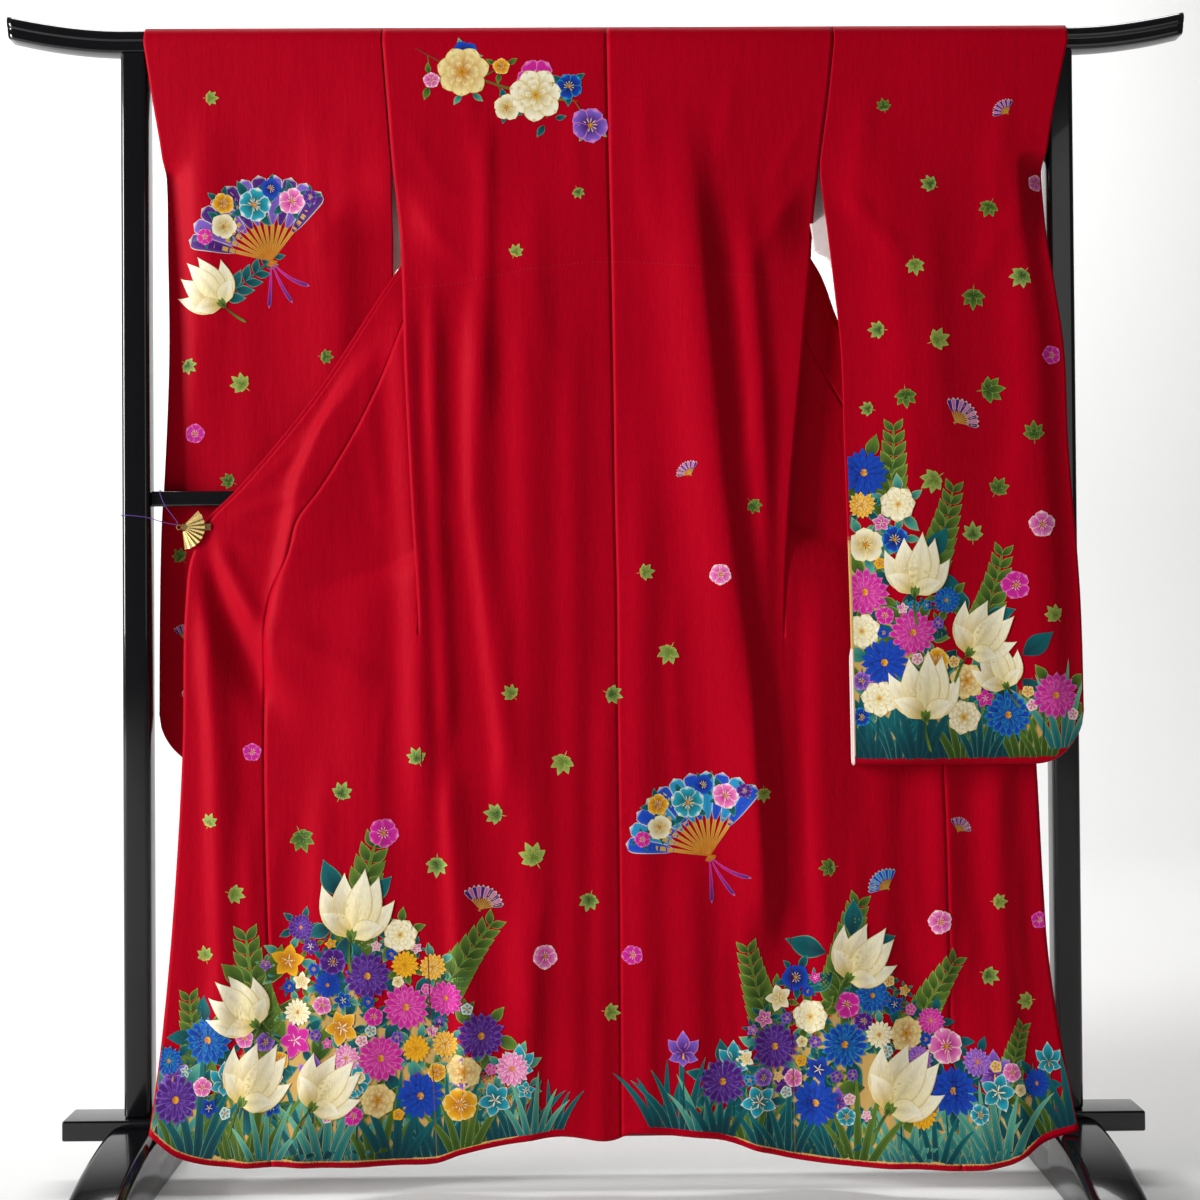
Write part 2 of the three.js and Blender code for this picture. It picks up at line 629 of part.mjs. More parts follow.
function collar() {
  const { sideColumns, cornerColumns, neckColumns, rows } = COLLAR;
  const sideLevels = (side) => [
    COLLAR.lowest,
    ...Array.from({ length: sideColumns }, (_, j) => (
      mix(TURN.z, frontHem(side, PANEL.bodyWidth), (sideColumns - j) / PANEL.frontRows))),
  ];
  const corners = Array.from({ length: cornerColumns + 1 }, (_, j) => j / (cornerColumns + 1));
  const neck = Array.from({ length: neckColumns + 1 }, (_, j) => j / neckColumns);
  const columns = [
    ...sideLevels(leftHalf).map((z) => (share) => collarSide(leftHalf, share, z)),
    ...corners.map((raised) => (share) => collarNeck(share, 0, raised)),
    ...neck.map((along) => (share) => collarNeck(share, along, 1)),
    ...[...corners].reverse().map((raised) => (share) => collarNeck(share, 1, raised)),
    ...sideLevels(rightHalf).reverse().map((z) => (share) => collarSide(rightHalf, share, z)),
  ];
  return gridSheet(rows, columns.length - 1, (i, j) => columns[j](i / rows));
}

// ---------------------------------------------------------------- sleeves

// Height of a sleeve's lower edge at a distance from its cuff-side edge: a round outer corner.
function sleeveBottom(fromOuter) {
  if (fromOuter >= SLEEVE.corner) {
    return SLEEVE.bottom;
  }
  const { corner, bottom } = SLEEVE;
  return bottom + corner - Math.sqrt(corner ** 2 - (corner - fromOuter) ** 2);
}

// A bag: up the near layer, over the rail, down the far layer and back round the bottom.
// Its two layers meet along the cuff-side edge below the cuff, and stay open on the body side.
function sleeve(side, rows) {
  const table = tracks(rows, ['inner', 'outer', 'near', 'far']);
  const outward = -side.sign;

  function xAt(share, z) {
    const sewn = side.sideSeam(z) + outward * SLEEVE.seamGap;
    const inner = z > SLEEVE.sewnTo ? sewn : table.inner(z);
    return mix(outward > 0 ? Math.max(inner, sewn) : Math.min(inner, sewn), table.outer(z), share);
  }

  // Y of both layers: sewn to the body near the shoulder, pinched together at the far edge.
  function layers(share, z) {
    const bySeam = (1 - smooth(share / SLEEVE.seamShare))
      * smooth((z - SLEEVE.seamFrom) / SLEEVE.seamOver);
    const seamNear = back.depth(z);
    const seamFar = side.front.side(z);
    const near = mix(table.near(z), seamNear, bySeam);
    const far = mix(table.far(z), seamFar, bySeam);
    const closed = smooth((SLEEVE.cuffEnd + SLEEVE.cuffEase - z) / SLEEVE.cuffEase);
    const pinch = closed * smooth((share - SLEEVE.pinchFrom) / (1 - SLEEVE.pinchFrom));
    const spread = mix((far - near) / 2, (CLOTH + SEAM) / 2, pinch);
    const centre = (far + near) / 2;
    return { near: centre - spread, far: centre + spread };
  }

  const levels = SLEEVE_LEVELS.length;
  const loop = levels * 2 + TURN.steps;
  const sheet = { points: [], cells: [] };
  for (const share of SLEEVE_STATIONS) {
    const width = Math.abs(table.outer(SLEEVE.bottom) - table.inner(SLEEVE.bottom));
    const bottom = sleeveBottom((1 - share) * width);
    const place = (y, z) => sheet.points.push(new THREE.Vector3(xAt(share, z), y, z));
    const curl = layers(share, bottom);
    place((curl.near + curl.far) / 2, bottom - (curl.far - curl.near) / 3);
    for (const level of SLEEVE_LEVELS) {
      const z = mix(bottom, TURN.z, level);
      place(layers(share, z).near, z);
    }
    for (let step = 1; step < TURN.steps; step += 1) {
      const { y, z } = overRail(step / TURN.steps);
      sheet.points.push(new THREE.Vector3(xAt(share, TURN.z), y, z));
    }
    for (const level of [...SLEEVE_LEVELS].reverse()) {
      const z = mix(bottom, TURN.z, level);
      place(layers(share, z).far, z);
    }
  }
  for (let s = 0; s < SLEEVE_STATIONS.length - 1; s += 1) {
    for (let i = 0; i < loop; i += 1) {
      const a = s * loop + i;
      const b = s * loop + ((i + 1) % loop);
      sheet.cells.push([a, a + loop, b + loop, b]);
    }
  }
  return side.sign > 0 ? flipSheet(sheet) : sheet;
}

// ---------------------------------------------------------------- clip and thread

// A folded fan of thin brass: zigzag pleats that spread from the pivot.
function fanPlate() {
  const columns = CLIP.pleats * 2;
  return gridSheet(columns, 2, (i, j) => {
    const angle = THREE.MathUtils.degToRad(mix(CLIP.from, CLIP.to, i / columns));
    const radius = mix(CLIP.outer, CLIP.inner, j / 2);
    const ridge = (i % 2 === 0 ? -1 : 1) * CLIP.pleatDepth * radius / CLIP.outer;
    return new THREE.Vector3(
      CLIP.x + radius * Math.cos(angle), CLIP.y + ridge, CLIP.z + radius * Math.sin(angle));
  });
}

// The spring leaf that folds round the cloth's edge behind the fan.
function jaw(material) {
  const { reach, height, front, back: rear, leaf } = JAW;
  const shape = new THREE.Shape();
  shape.moveTo(0, front);
  shape.lineTo(reach, front);
  shape.lineTo(reach, front + leaf);
  shape.lineTo(leaf, front + leaf);
  shape.lineTo(leaf, rear - leaf);
  shape.lineTo(reach, rear - leaf);
  shape.lineTo(reach, rear);
  shape.lineTo(0, rear);
  const geometry = new THREE.ExtrudeGeometry(shape, { depth: height, bevelEnabled: false });
  const mesh = meshFrom('clip_jaw', geometry, material);
  mesh.position.set(CLIP.x - 1, 0, CLIP.z - height / 2);
  return mesh;
}

function ring(material) {
  const geometry = new THREE.TorusGeometry(RING.radius, RING.wire, 6, 14);
  geometry.rotateX(Math.PI / 2);
  const mesh = meshFrom('clip_ring', geometry, material);
  mesh.position.set(RING.x, RING.y, CLIP.z);
  return mesh;
}

// Points round a rounded corner, in the plane that the thread turns in.
function roundCorner(centreA, centreB, radius, from, to) {
  return [0, 0.5, 1].map((share) => {
    const angle = THREE.MathUtils.degToRad(mix(from, to, share));
    return [centreA + radius * Math.cos(angle), centreB + radius * Math.sin(angle)];
  });
}

// The thread is taut from a turn round the post to the clip's ring, and on over the middle rail.
function thread(material) {
  const clear = THREAD.radius + THREAD.clear;
  const postX = -POST.x - POST.width / 2 + POST.round;
  const postY = POST.depth / 2 - POST.round;
  const railY = MIDDLE_RAIL.halfDepth - MIDDLE_RAIL.round;
  const railZ = MIDDLE_RAIL.top - MIDDLE_RAIL.round;
  const roundPost = POST.round + clear;
  const roundRail = MIDDLE_RAIL.round + clear;
  const route = [
    ...roundCorner(postX, postY, roundPost, 90, 175).map(([x, y]) => [x, y, 959]),
    ...roundCorner(postX, -postY, roundPost, 185, 268).map(([x, y]) => [x, y, 960]),
    [-652, -19.7, 956.5],
    [-632, -20.4, 950.5],
    [RING.x - 3.9, RING.y, CLIP.z + 4.1],
    [RING.x - 1.4, RING.y - 1.2, CLIP.z + 5.5],
    [-614, -20, 957],
    [-628, -17, 976],
    ...roundCorner(-railY, railZ, roundRail, 190, 95).map(([y, z], i) => [-635 - i, y, z]),
    ...roundCorner(railY, railZ, roundRail, 85, -10).map(([y, z], i) => [-639 - i, y, z]),
  ];
  const path = new THREE.CatmullRomCurve3(
    route.map((point) => new THREE.Vector3(...point)), false, 'centripetal');
  const shape = new THREE.Shape();
  shape.absarc(0, 0, THREAD.radius, 0, Math.PI * 2);
  const curveSegments = THREAD.sides / 2; // an arc gets two sides for each of these
  const geometry = new THREE.ExtrudeGeometry(shape, {
    steps: THREAD.steps, curveSegments, bevelEnabled: false, extrudePath: path,
  });
  return meshFrom('clip_thread', geometry, material);
}

// ---------------------------------------------------------------- assembly

const lacquer = new THREE.MeshStandardMaterial({ color: 0x0b0b0c, roughness: 0.12, metalness: 0 });
const silk = new THREE.MeshStandardMaterial({ color: 0xa8061f, roughness: 0.62, metalness: 0 });
const brass = new THREE.MeshStandardMaterial({ color: 0xc9a24a, roughness: 0.3, metalness: 1 });
const cord = new THREE.MeshStandardMaterial({ color: 0x3a1d6e, roughness: 0.7, metalness: 0 });

const group = new THREE.Group();

group.add(topRail(lacquer));
group.add(straightBar('middle_rail', POST.x - POST.width / 2 - FIT, MIDDLE_RAIL, lacquer));
group.add(straightBar('bottom_bar', BAR.halfLength, BAR, lacquer));
for (const [name, side] of [['left', -1], ['right', 1]]) {
  group.add(post(`post_${name}`, side, lacquer));
  group.add(foot(`foot_${name}`, side, lacquer));
}

for (const side of [leftHalf, rightHalf]) {
  group.add(meshFrom(`body_${side.name}`, thicken(bodyPanel(side), CLOTH), silk));
  group.add(meshFrom(`okumi_${side.name}`, thicken(okumiPanel(side), CLOTH), silk));
}
group.add(meshFrom('collar', thicken(collar(), CLOTH), silk));
group.add(meshFrom('sleeve_left', thicken(sleeve(leftHalf, SLEEVE_LEFT), CLOTH), silk));
group.add(meshFrom('sleeve_right', thicken(sleeve(rightHalf, SLEEVE_RIGHT), CLOTH), silk));

group.add(meshFrom('clip_fan', thicken(fanPlate(), CLIP.plate), brass));
group.add(jaw(brass));
group.add(ring(brass));
group.add(thread(cord));

export default group;
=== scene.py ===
"""A long-sleeved silk furisode kimono, hung over a black lacquered kimono stand.

Lengths are in millimetres until a mesh is made, and in metres from there on. X runs along
the rails, the back of the kimono faces -Y, and Z is the height above the floor.
"""
import math

import bpy
import numpy as np
from mathutils import Matrix, Vector


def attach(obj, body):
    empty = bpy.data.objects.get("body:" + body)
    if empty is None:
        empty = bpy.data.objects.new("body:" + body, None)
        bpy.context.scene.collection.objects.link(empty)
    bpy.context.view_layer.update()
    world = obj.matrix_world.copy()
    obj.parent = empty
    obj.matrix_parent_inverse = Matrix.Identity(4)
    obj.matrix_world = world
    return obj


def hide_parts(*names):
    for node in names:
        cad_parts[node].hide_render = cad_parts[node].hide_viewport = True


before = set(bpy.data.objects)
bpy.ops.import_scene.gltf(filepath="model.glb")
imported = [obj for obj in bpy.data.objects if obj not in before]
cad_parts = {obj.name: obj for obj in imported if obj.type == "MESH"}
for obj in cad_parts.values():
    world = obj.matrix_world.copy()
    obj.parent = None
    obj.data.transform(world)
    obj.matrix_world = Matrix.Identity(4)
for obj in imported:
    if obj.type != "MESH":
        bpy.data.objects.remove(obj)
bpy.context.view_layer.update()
scene = bpy.context.scene

# ---------------------------------------------------------------- camera
# A level view of the whole back, from a little over two metres away, with the faint lean
# that a hand-held camera has.

camera = bpy.data.objects.new("camera", bpy.data.cameras.new("camera"))
scene.collection.objects.link(camera)
scene.camera = camera
camera.data.sensor_width = 36.0
camera.data.lens = 45.47

yaw, pitch, roll = (math.radians(degrees) for degrees in (0.4926, 0.6441, -0.41))
forward = Vector((math.sin(yaw) * math.cos(pitch), math.cos(yaw) * math.cos(pitch), math.sin(pitch)))
level = Vector((math.cos(yaw), -math.sin(yaw), 0.0))
upright = level.cross(forward)
across = level * math.cos(roll) + upright * math.sin(roll)
above = upright * math.cos(roll) - level * math.sin(roll)
camera.matrix_world = (
    Matrix.Translation((-0.0209, -2.2, 0.8088)) @ Matrix((across, above, -forward)).transposed().to_4x4()
)

# ---------------------------------------------------------------- stand
# A kimono stand of softwood under many coats of black lacquer: a long top rail with tips that
# sweep up, a thin middle rail, two posts, and a flat bar on two arched feet.

MM = 0.001
SMOOTH_STEPS = 8


def smooth(value):
    """Eases from 0 to 1 as the value does, level at both ends: three squares less two cubes."""
    value = np.clip(value, 0.0, 1.0)
    return value * value * (3.0 - 2.0 * value)


def mix(start, end, share):
    """A straight blend from start to end."""
    return start + (end - start) * share


def shader(name, sockets):
    """A new material with the even values of its Principled shader set, that shader and its node list.

    The last result is a function that joins nodes by rows of node, output, next node and input."""
    material = bpy.data.materials.new(name)
    material.use_nodes = True
    nodes, link = material.node_tree.nodes, material.node_tree.links.new
    gloss = nodes["Principled BSDF"]
    for socket, value in sockets.items():
        gloss.inputs[socket].default_value = value

    def wire(*rows):
        for source, output, target, socket in rows:
            link(source.outputs[output], target.inputs[socket])

    return material, gloss, nodes, wire


def add_node(nodes, kind, **settings):
    """A shader node of one kind, with its settings and its unlinked inputs set by name."""
    node = nodes.new(kind)
    for key, value in settings.items():
        if key in node.inputs:
            node.inputs[key].default_value = value
        else:
            setattr(node, key.lower(), value)
    return node


def place_mesh(name, points, faces, materials, face_material=None, flat_faces=0):
    """A piece from points in millimetres, that rides on the part's one body.

    The faces are smooth but for the last few, which are flat ends."""
    mesh = bpy.data.meshes.new(name)
    mesh.from_pydata((np.asarray(points) * MM).tolist(), [], faces)
    shading = np.ones(len(faces), dtype=bool)
    if flat_faces:
        shading[-flat_faces:] = False
    mesh.polygons.foreach_set("use_smooth", shading)
    for material in materials:
        mesh.materials.append(material)
    if face_material is not None:
        mesh.polygons.foreach_set("material_index", np.asarray(face_material, dtype=np.int32))
    mesh.update()
    piece = bpy.data.objects.new(name, mesh)
    scene.collection.objects.link(piece)
    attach(piece, "root")
    return piece


def loft(rings):
    """Points and faces of a solid carried through closed rings, with a flat face at each end."""
    stations, around = rings.shape[:2]
    first = np.arange(around)
    after = (first + 1) % around
    rows = np.arange(stations - 1)[:, None] * around
    sides = np.stack([rows + first, rows + after, rows + after + around, rows + first + around], axis=-1)
    faces = sides.reshape(-1, 4).tolist()
    faces.append(first[::-1].tolist())
    faces.append((first + (stations - 1) * around).tolist())
    return rings.reshape(-1, 3), faces


lacquer, gloss, nodes, wire = shader("black_lacquer", {
    "Base Color": (0.004, 0.004, 0.005, 1.0), "Specular IOR Level": 0.3, "Coat Weight": 0.4,
    "Coat Roughness": 0.03})
where = add_node(nodes, "ShaderNodeTexCoord")
handled = add_node(nodes, "ShaderNodeTexNoise", Scale=9.0, Detail=4.0)
worn = add_node(nodes, "ShaderNodeMapRange", **{"To Min": 0.09, "To Max": 0.24})
ripple = add_node(nodes, "ShaderNodeTexNoise", Scale=60.0, Detail=2.0)
skin = add_node(nodes, "ShaderNodeBump", Strength=0.05, Distance=0.0006)
wire(
    (where, "Object", handled, "Vector"), (where, "Object", ripple, "Vector"),
    (handled, "Fac", worn, "Value"), (worn, "Result", gloss, "Roughness"),
    (ripple, "Fac", skin, "Height"), (skin, "Normal", gloss, "Normal"))


def rounded_section(half_width, half_height, round_):
    """A rectangle with round corners, counter-clockwise: four quarter circles joined by straight sides."""
    angle = np.linspace(0.0, np.pi / 2, SMOOTH_STEPS + 1)
    corners = [(1, 1, 0.0), (-1, 1, np.pi / 2), (-1, -1, np.pi), (1, -1, np.pi * 1.5)]
    return np.concatenate([
        np.stack([
            sign_a * (half_width - round_) + round_ * np.cos(angle + turn),
            sign_b * (half_height - round_) + round_ * np.sin(angle + turn),
        ], axis=-1)
        for sign_a, sign_b, turn in corners
    ])


def rounded_bar(start, end, half_width, half_height, round_, axis):
    """A straight bar whose long edges and ends are rounded.

    Near an end each ring is the section drawn in by r(1 - cos a), at r(1 - sin a) from the end."""
    ease = min(round_, 3.0)
    angles = np.linspace(np.pi / 2, 0.0, 5)
    inset = ease * (1 - np.cos(angles))
    near = start + ease * (1 - np.sin(angles))
    inset = np.concatenate([inset, inset[::-1]])
    along = np.concatenate([near, (start + end) - near[::-1]])
    rings = np.zeros((len(along), 4 * (SMOOTH_STEPS + 1), 3))
    a, b = (1, 2) if axis == 0 else (0, 1)
    for ring, place, less in zip(rings, along, inset):
        section = rounded_section(half_width - less, half_height - less, max(round_ - less, 0.4))
        ring[:, axis] = place
        ring[:, a] = section[:, 0]
        ring[:, b] = section[:, 1]
    return rings


def stand_piece(name, rings):
    """One lacquered piece of the stand, in place of its plain solid."""
    points, faces = loft(rings)
    piece = place_mesh(f"{name}_lacquered", points, faces, [lacquer], flat_faces=2)
    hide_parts(name)
    return piece


FIT = 0.3
POST = {"x": 670.0, "width": 40.0, "depth": 34.0, "round": 8.0}
MIDDLE_RAIL = {"bottom": 973.0, "top": 995.0, "half_depth": 10.0, "round": 3.0}
BAR = {"half_length": 774.0, "bottom": 67.0, "top": 96.0, "half_depth": 28.6, "round": 3.0}
RAIL = {
    "half_length": 852.0, "top": 1665.2, "height": 36.0, "half_depth": 15.0, "round": 14.9,
    "sweep_from": 690.0, "tip_rise": 21.0, "tip_slant": 4.0, "groove": 1.2, "chamfer": 4.0,
}
FOOT = {"width": 78.0, "half_length": 270.0, "height": 86.0, "toe": 14.0, "round": 14.0}


def rail_section():
    """The top rail's section as (Y, Z): flat below, straight sides with a groove, and a half-round top."""
    base = RAIL["top"] - RAIL["height"]
    middle = RAIL["top"] - RAIL["round"]
    half_depth = RAIL["half_depth"]
    quarter = np.linspace(0.0, np.pi / 2, 13)
    lower = np.stack([
        half_depth - RAIL["chamfer"] * (1 - np.sin(quarter[::3])),
        base + RAIL["chamfer"] * (1 - np.cos(quarter[::3])),
    ], axis=-1)
    notch = np.linspace(0.0, np.pi, 9)
    groove = np.stack([
        half_depth - RAIL["groove"] * np.sin(notch), middle - 6.5 - 2.5 * np.cos(notch)], axis=-1)
    crown = np.stack([
        RAIL["round"] * np.cos(quarter[:-1]), middle + RAIL["round"] * np.sin(quarter[:-1])], axis=-1)
    half = np.concatenate([lower, groove, crown])
    mirrored = half[::-1] * (-1.0, 1.0)
    return np.concatenate([half, [[0.0, RAIL["top"]]], mirrored])


def top_rail_rings():
    """The section carried along X. Beyond the posts it rises with the 1.8th power of the way to the tip."""
    outward = np.concatenate([[0.0, 640.0], np.linspace(690.0, RAIL["half_length"], 20)])
    along = np.concatenate([-outward[:0:-1], outward])
    reach = np.clip(np.abs(along) - RAIL["sweep_from"], 0.0, None)
    rise = RAIL["tip_rise"] * (reach / (RAIL["half_length"] - RAIL["sweep_from"])) ** 1.8
    section = rail_section()
    middle = RAIL["top"] - RAIL["height"] / 2
    slant = RAIL["tip_slant"] * smooth((np.abs(along) - 800.0) / 52.0) * np.sign(along)
    x = along[:, None] + slant[:, None] * (section[None, :, 1] - middle) / RAIL["height"]
    y = np.broadcast_to(section[None, :, 0], x.shape)
    z = section[None, :, 1] + rise[:, None]
    return np.stack([x, y, z], axis=-1)


stand_piece("top_rail", top_rail_rings())
rail_half = POST["x"] - POST["width"] / 2 - FIT
rings = rounded_bar(
    -rail_half, rail_half, MIDDLE_RAIL["half_depth"],
    (MIDDLE_RAIL["top"] - MIDDLE_RAIL["bottom"]) / 2, MIDDLE_RAIL["round"], 0)
stand_piece("middle_rail", rings + (0.0, 0.0, (MIDDLE_RAIL["top"] + MIDDLE_RAIL["bottom"]) / 2))
rings = rounded_bar(
    -BAR["half_length"], BAR["half_length"], BAR["half_depth"],
    (BAR["top"] - BAR["bottom"]) / 2, BAR["round"], 0)
stand_piece("bottom_bar", rings + (0.0, 0.0, (BAR["top"] + BAR["bottom"]) / 2))


def foot_rings():
    """A foot from toe to toe: its height follows (1 - (y/half)^2)^0.6, and its upper edges are round."""
    half_length, half_width = FOOT["half_length"], FOOT["width"] / 2
    y = half_length * np.sin(np.linspace(-np.pi / 2, np.pi / 2, 61))
    height = np.maximum(FOOT["toe"], FOOT["height"] * (1 - (y / half_length) ** 2) ** 0.6)
    round_ = np.minimum(FOOT["round"], height * 0.7)[:, None]
    angle = np.linspace(0.0, np.pi / 2, SMOOTH_STEPS + 1)[None, :]
    x = half_width - round_ + round_ * np.cos(angle)
    z = height[:, None] - round_ + round_ * np.sin(angle)
    base = np.array([[half_width, 0.8], [half_width - 0.8, 0.0]])
    x = np.concatenate([np.broadcast_to(base[::-1, 0], (len(y), 2)), x], axis=1)
    z = np.concatenate([np.broadcast_to(base[::-1, 1], (len(y), 2)), z], axis=1)
    x = np.concatenate([x, -x[:, ::-1]], axis=1)
    z = np.concatenate([z, z[:, ::-1]], axis=1)
    return np.stack([x, np.broadcast_to(y[:, None], x.shape), z], axis=-1)[::-1]


def cut_slot(piece, low, high):
    """Cuts a box out of a piece, where another piece of the stand is let into it."""
    rings = rounded_bar(low[0], high[0], (high[1] - low[1]) / 2, (high[2] - low[2]) / 2, 0.5, 0)
    rings = rings + (0.0, (low[1] + high[1]) / 2, (low[2] + high[2]) / 2)
    points, faces = loft(rings)
    mesh = bpy.data.meshes.new("slot")
    mesh.from_pydata((points * MM).tolist(), [], faces)
    cutter = bpy.data.objects.new("slot", mesh)
    scene.collection.objects.link(cutter)
    cut = piece.modifiers.new("slot", "BOOLEAN")
    cut.operation = "DIFFERENCE"
    cut.object = cutter
    cut.solver = "EXACT"
    graph = bpy.context.evaluated_depsgraph_get()
    finished = bpy.data.meshes.new_from_object(piece.evaluated_get(graph))
    piece.modifiers.clear()
    piece.data = finished
    bpy.data.objects.remove(cutter)


for side, sign in (("left", -1), ("right", 1)):
    rings = rounded_bar(
        BAR["top"] + FIT, RAIL["top"] - RAIL["height"] - FIT,
        POST["width"] / 2, POST["depth"] / 2, POST["round"], 2)
    stand_piece(f"post_{side}", rings + (sign * POST["x"], 0.0, 0.0))
    foot = stand_piece(f"foot_{side}", foot_rings() + (sign * POST["x"], 0.0, 0.0))
    cut_slot(
        foot,
        (sign * POST["x"] - FOOT["width"], -BAR["half_depth"] - FIT, BAR["bottom"] - FIT),
        (sign * POST["x"] + FOOT["width"], BAR["half_depth"] + FIT, FOOT["height"] * 2))

# ---------------------------------------------------------------- body of the kimono
# Two lengths of crimson crepe silk, each from the back hem over the shoulder to the front hem,
# sewn together down the middle of the back and lined with pale silk that rolls out at the hem.

SEAM = 0.08
WALL = 1.5
SEAM_LIFT = 3.4
TURN = {"z": 1640.0, "half_depth": 20.5, "rise": 27.0}

# Seam lines of the back: height, left armhole and side seam, centre seam, right one, and depth.
BACK = np.array([
    (1660, -312, 13, 343, -20.5), (1560, -304, 14, 332, -25), (1460, -296, 15, 318, -29),
    (1335, -284, 17, 305, -36), (1150, -277, 19, 287, -38), (975, -269, 20, 270, -40),
    (835, -261, 22, 262, -42), (690, -258, 22, 258, -43), (465, -254, 23, 263, -44),
    (40, -239, 23, 269, -46),
], dtype=float)

# Fronts: height, X of the free edge, width tucked behind the back, Y of side seam and of edge.
FRONT_LEFT = np.array([
    (1660, -84, 228, 20.5, 20.5), (1612, -82, 225, 20.5, 20.5), (1560, -106, 212, 19, 26),
    (1500, -148, 190, 15, 24), (1460, -178, 172, 9, 19), (1400, -221, 153, -9, 6),
    (1310, -286, 130, -31, -10), (1124, -409, 90, -32, -18), (995, -517, 50, -34, -19.5),
    (952, -560, 33, -35, -20), (900, -587, 24, -36, -22), (837, -595, 8, -38, -25),
    (624, -599, 0, -41, -31), (411, -611, 0, -43, -33.5), (230, -627, 0, -44, -36),
    (140, -634, 0, -44.5, -54), (60, -640, 0, -45, -78),
], dtype=float)
FRONT_RIGHT = np.array([
    (1660, 110, 232, 20.5, 20.5), (1612, 108, 230, 20.5, 20.5), (1560, 132, 214, 19, 26),
    (1500, 175, 192, 15, 24), (1460, 204, 174, 9, 19), (1400, 250, 151, -9, 6),
    (1310, 310, 128, -31, -10), (1220, 346, 117, -32, -15), (1124, 425, 86, -32, -18),
    (995, 535, 42, -34, -19.5), (952, 572, 27, -35, -20), (900, 598, 14, -36, -22),
    (837, 606, 6, -38, -25), (600, 621, 0, -41, -31), (411, 629, 0, -43, -33.5),
    (328, 634, 0, -43, -34.5), (230, 646, 0, -44, -38), (140, 656, 0, -44.5, -60),
    (60, 664, 0, -45, -88),
], dtype=float)

# Height of the hem along the opened-out kimono: X and Z.
HEM = np.array([
    (-640, 88), (-595, 60), (-434, 46), (-292, 38), (-240, 38), (-206, 49), (-149, 62),
    (-64, 74), (9, 68), (35, 76), (106, 74), (162, 68), (219, 51), (276, 38), (345, 33),
    (419, 35), (562, 44), (612, 72), (664, 86),
], dtype=float)
HEM_LEVEL = 60.0

# Soft folds: X of the crest at top, middle and bottom, top and bottom height, half width of the
# left flank and of the right one, height.
BACK_FOLDS = [
    (118, 166, 238, 1580, 440, 50, 26, 19), (208, 230, 250, 1440, 760, 20, 15, 8),
    (-240, -240, -226, 1330, 700, 12, 17, 8), (-178, -180, -140, 1330, 620, 15, 30, 9),
    (-106, -104, -98, 1440, 300, 27, 36, 7), (-228, -212, -200, 640, 200, 14, 30, 9),
    (-40, -40, -44, 1320, 200, 20, 20, 4),
    (62, 54, 60, 1150, 60, 24, 26, 5), (-160, -162, -166, 1560, 1180, 16, 12, 4),
    (120, 126, 132, 520, 40, 32, 26, 6), (8, 0, -8, 800, 40, 16, 15, 3),
    (-118, -112, -104, 420, 40, 22, 18, 5), (196, 204, 214, 420, 60, 16, 20, 5),
]
WING_FOLDS_LEFT = [
    (-327, -430, -468, 1240, 779, 15, 92, 13), (-574, -550, -542, 940, 260, 17, 24, 9),
    (-335, -345, -352, 980, 60, 42, 36, 6), (-395, -408, -425, 640, 60, 20, 24, 6),
    (-505, -500, -498, 560, 60, 18, 22, 6),
]
WING_FOLDS_RIGHT = [
    (474, 480, 484, 1000, 330, 28, 34, 11), (290, 298, 304, 930, 150, 22, 95, 9),
    (405, 402, 398, 1080, 60, 26, 30, 5), (575, 562, 575, 900, 120, 26, 22, 9),
    (520, 524, 530, 420, 60, 16, 20, 4),
]

# Small creases over those folds: X and Z of both ends, half width, height.
BACK_CREASES = [
    (-296, 1452, -180, 1300, 14, 1.6), (-280, 1540, -205, 1400, 12, 1.1),
    (318, 1452, 205, 1290, 14, 1.7), (330, 1560, 238, 1400, 11, 1.2),
    (-262, 1290, -120, 1313, 9, 1.3), (-120, 1313, 8, 1318, 8, 1.0),
    (24, 1318, 150, 1305, 8, 1.1), (150, 1305, 276, 1285, 9, 1.3),
    (-250, 1200, -190, 900, 15, 1.5), (-90, 1480, -60, 1120, 16, 1.6),
    (70, 1610, 92, 1300, 17, 1.8), (-30, 1600, -22, 1380, 14, 1.2),
    (240, 1180, 205, 860, 13, 1.5), (-130, 900, -120, 520, 13, 1.6),
    (110, 880, 128, 500, 12, 1.7), (-205, 640, -225, 300, 12, 1.6),
    (215, 760, 238, 420, 12, 1.8), (-75, 480, -92, 130, 11, 1.5),
    (75, 330, 66, 110, 10, 1.4), (180, 420, 190, 120, 11, 1.5),
    (-180, 1610, -172, 1420, 15, 1.3), (200, 1600, 182, 1450, 13, 1.3),
]
WING_CREASES_LEFT = [
    (-592, 965, -440, 630, 26, -13.0), (-566, 955, -466, 765, 15, 7.0),
    (-575, 935, -558, 640, 14, 3.0), (-570, 940, -420, 905, 10, 2.0),
    (-566, 950, -398, 1010, 11, 2.3), (-560, 965, -380, 1120, 12, 2.6),
    (-470, 800, -300, 716, 20, 3.2), (-440, 826, -300, 818, 9, 1.0),
    (-330, 1200, -300, 900, 12, 1.8), (-450, 560, -470, 240, 14, 2.2),
    (-590, 520, -600, 220, 10, 2.0), (-370, 520, -385, 160, 13, 2.0),
    (-300, 760, -312, 420, 11, 1.6), (-545, 330, -560, 90, 12, 2.2),
]
WING_CREASES_RIGHT = [
    (560, 960, 430, 1080, 12, 2.2), (590, 880, 500, 700, 12, 2.4),
    (330, 1210, 300, 900, 12, 1.8), (450, 620, 462, 260, 14, 2.2),
    (600, 540, 612, 200, 10, 2.0), (372, 560, 380, 150, 13, 2.0),
    (305, 700, 318, 320, 11, 1.6), (545, 360, 560, 90, 12, 2.2),
    (500, 420, 492, 120, 10, 1.8),
]


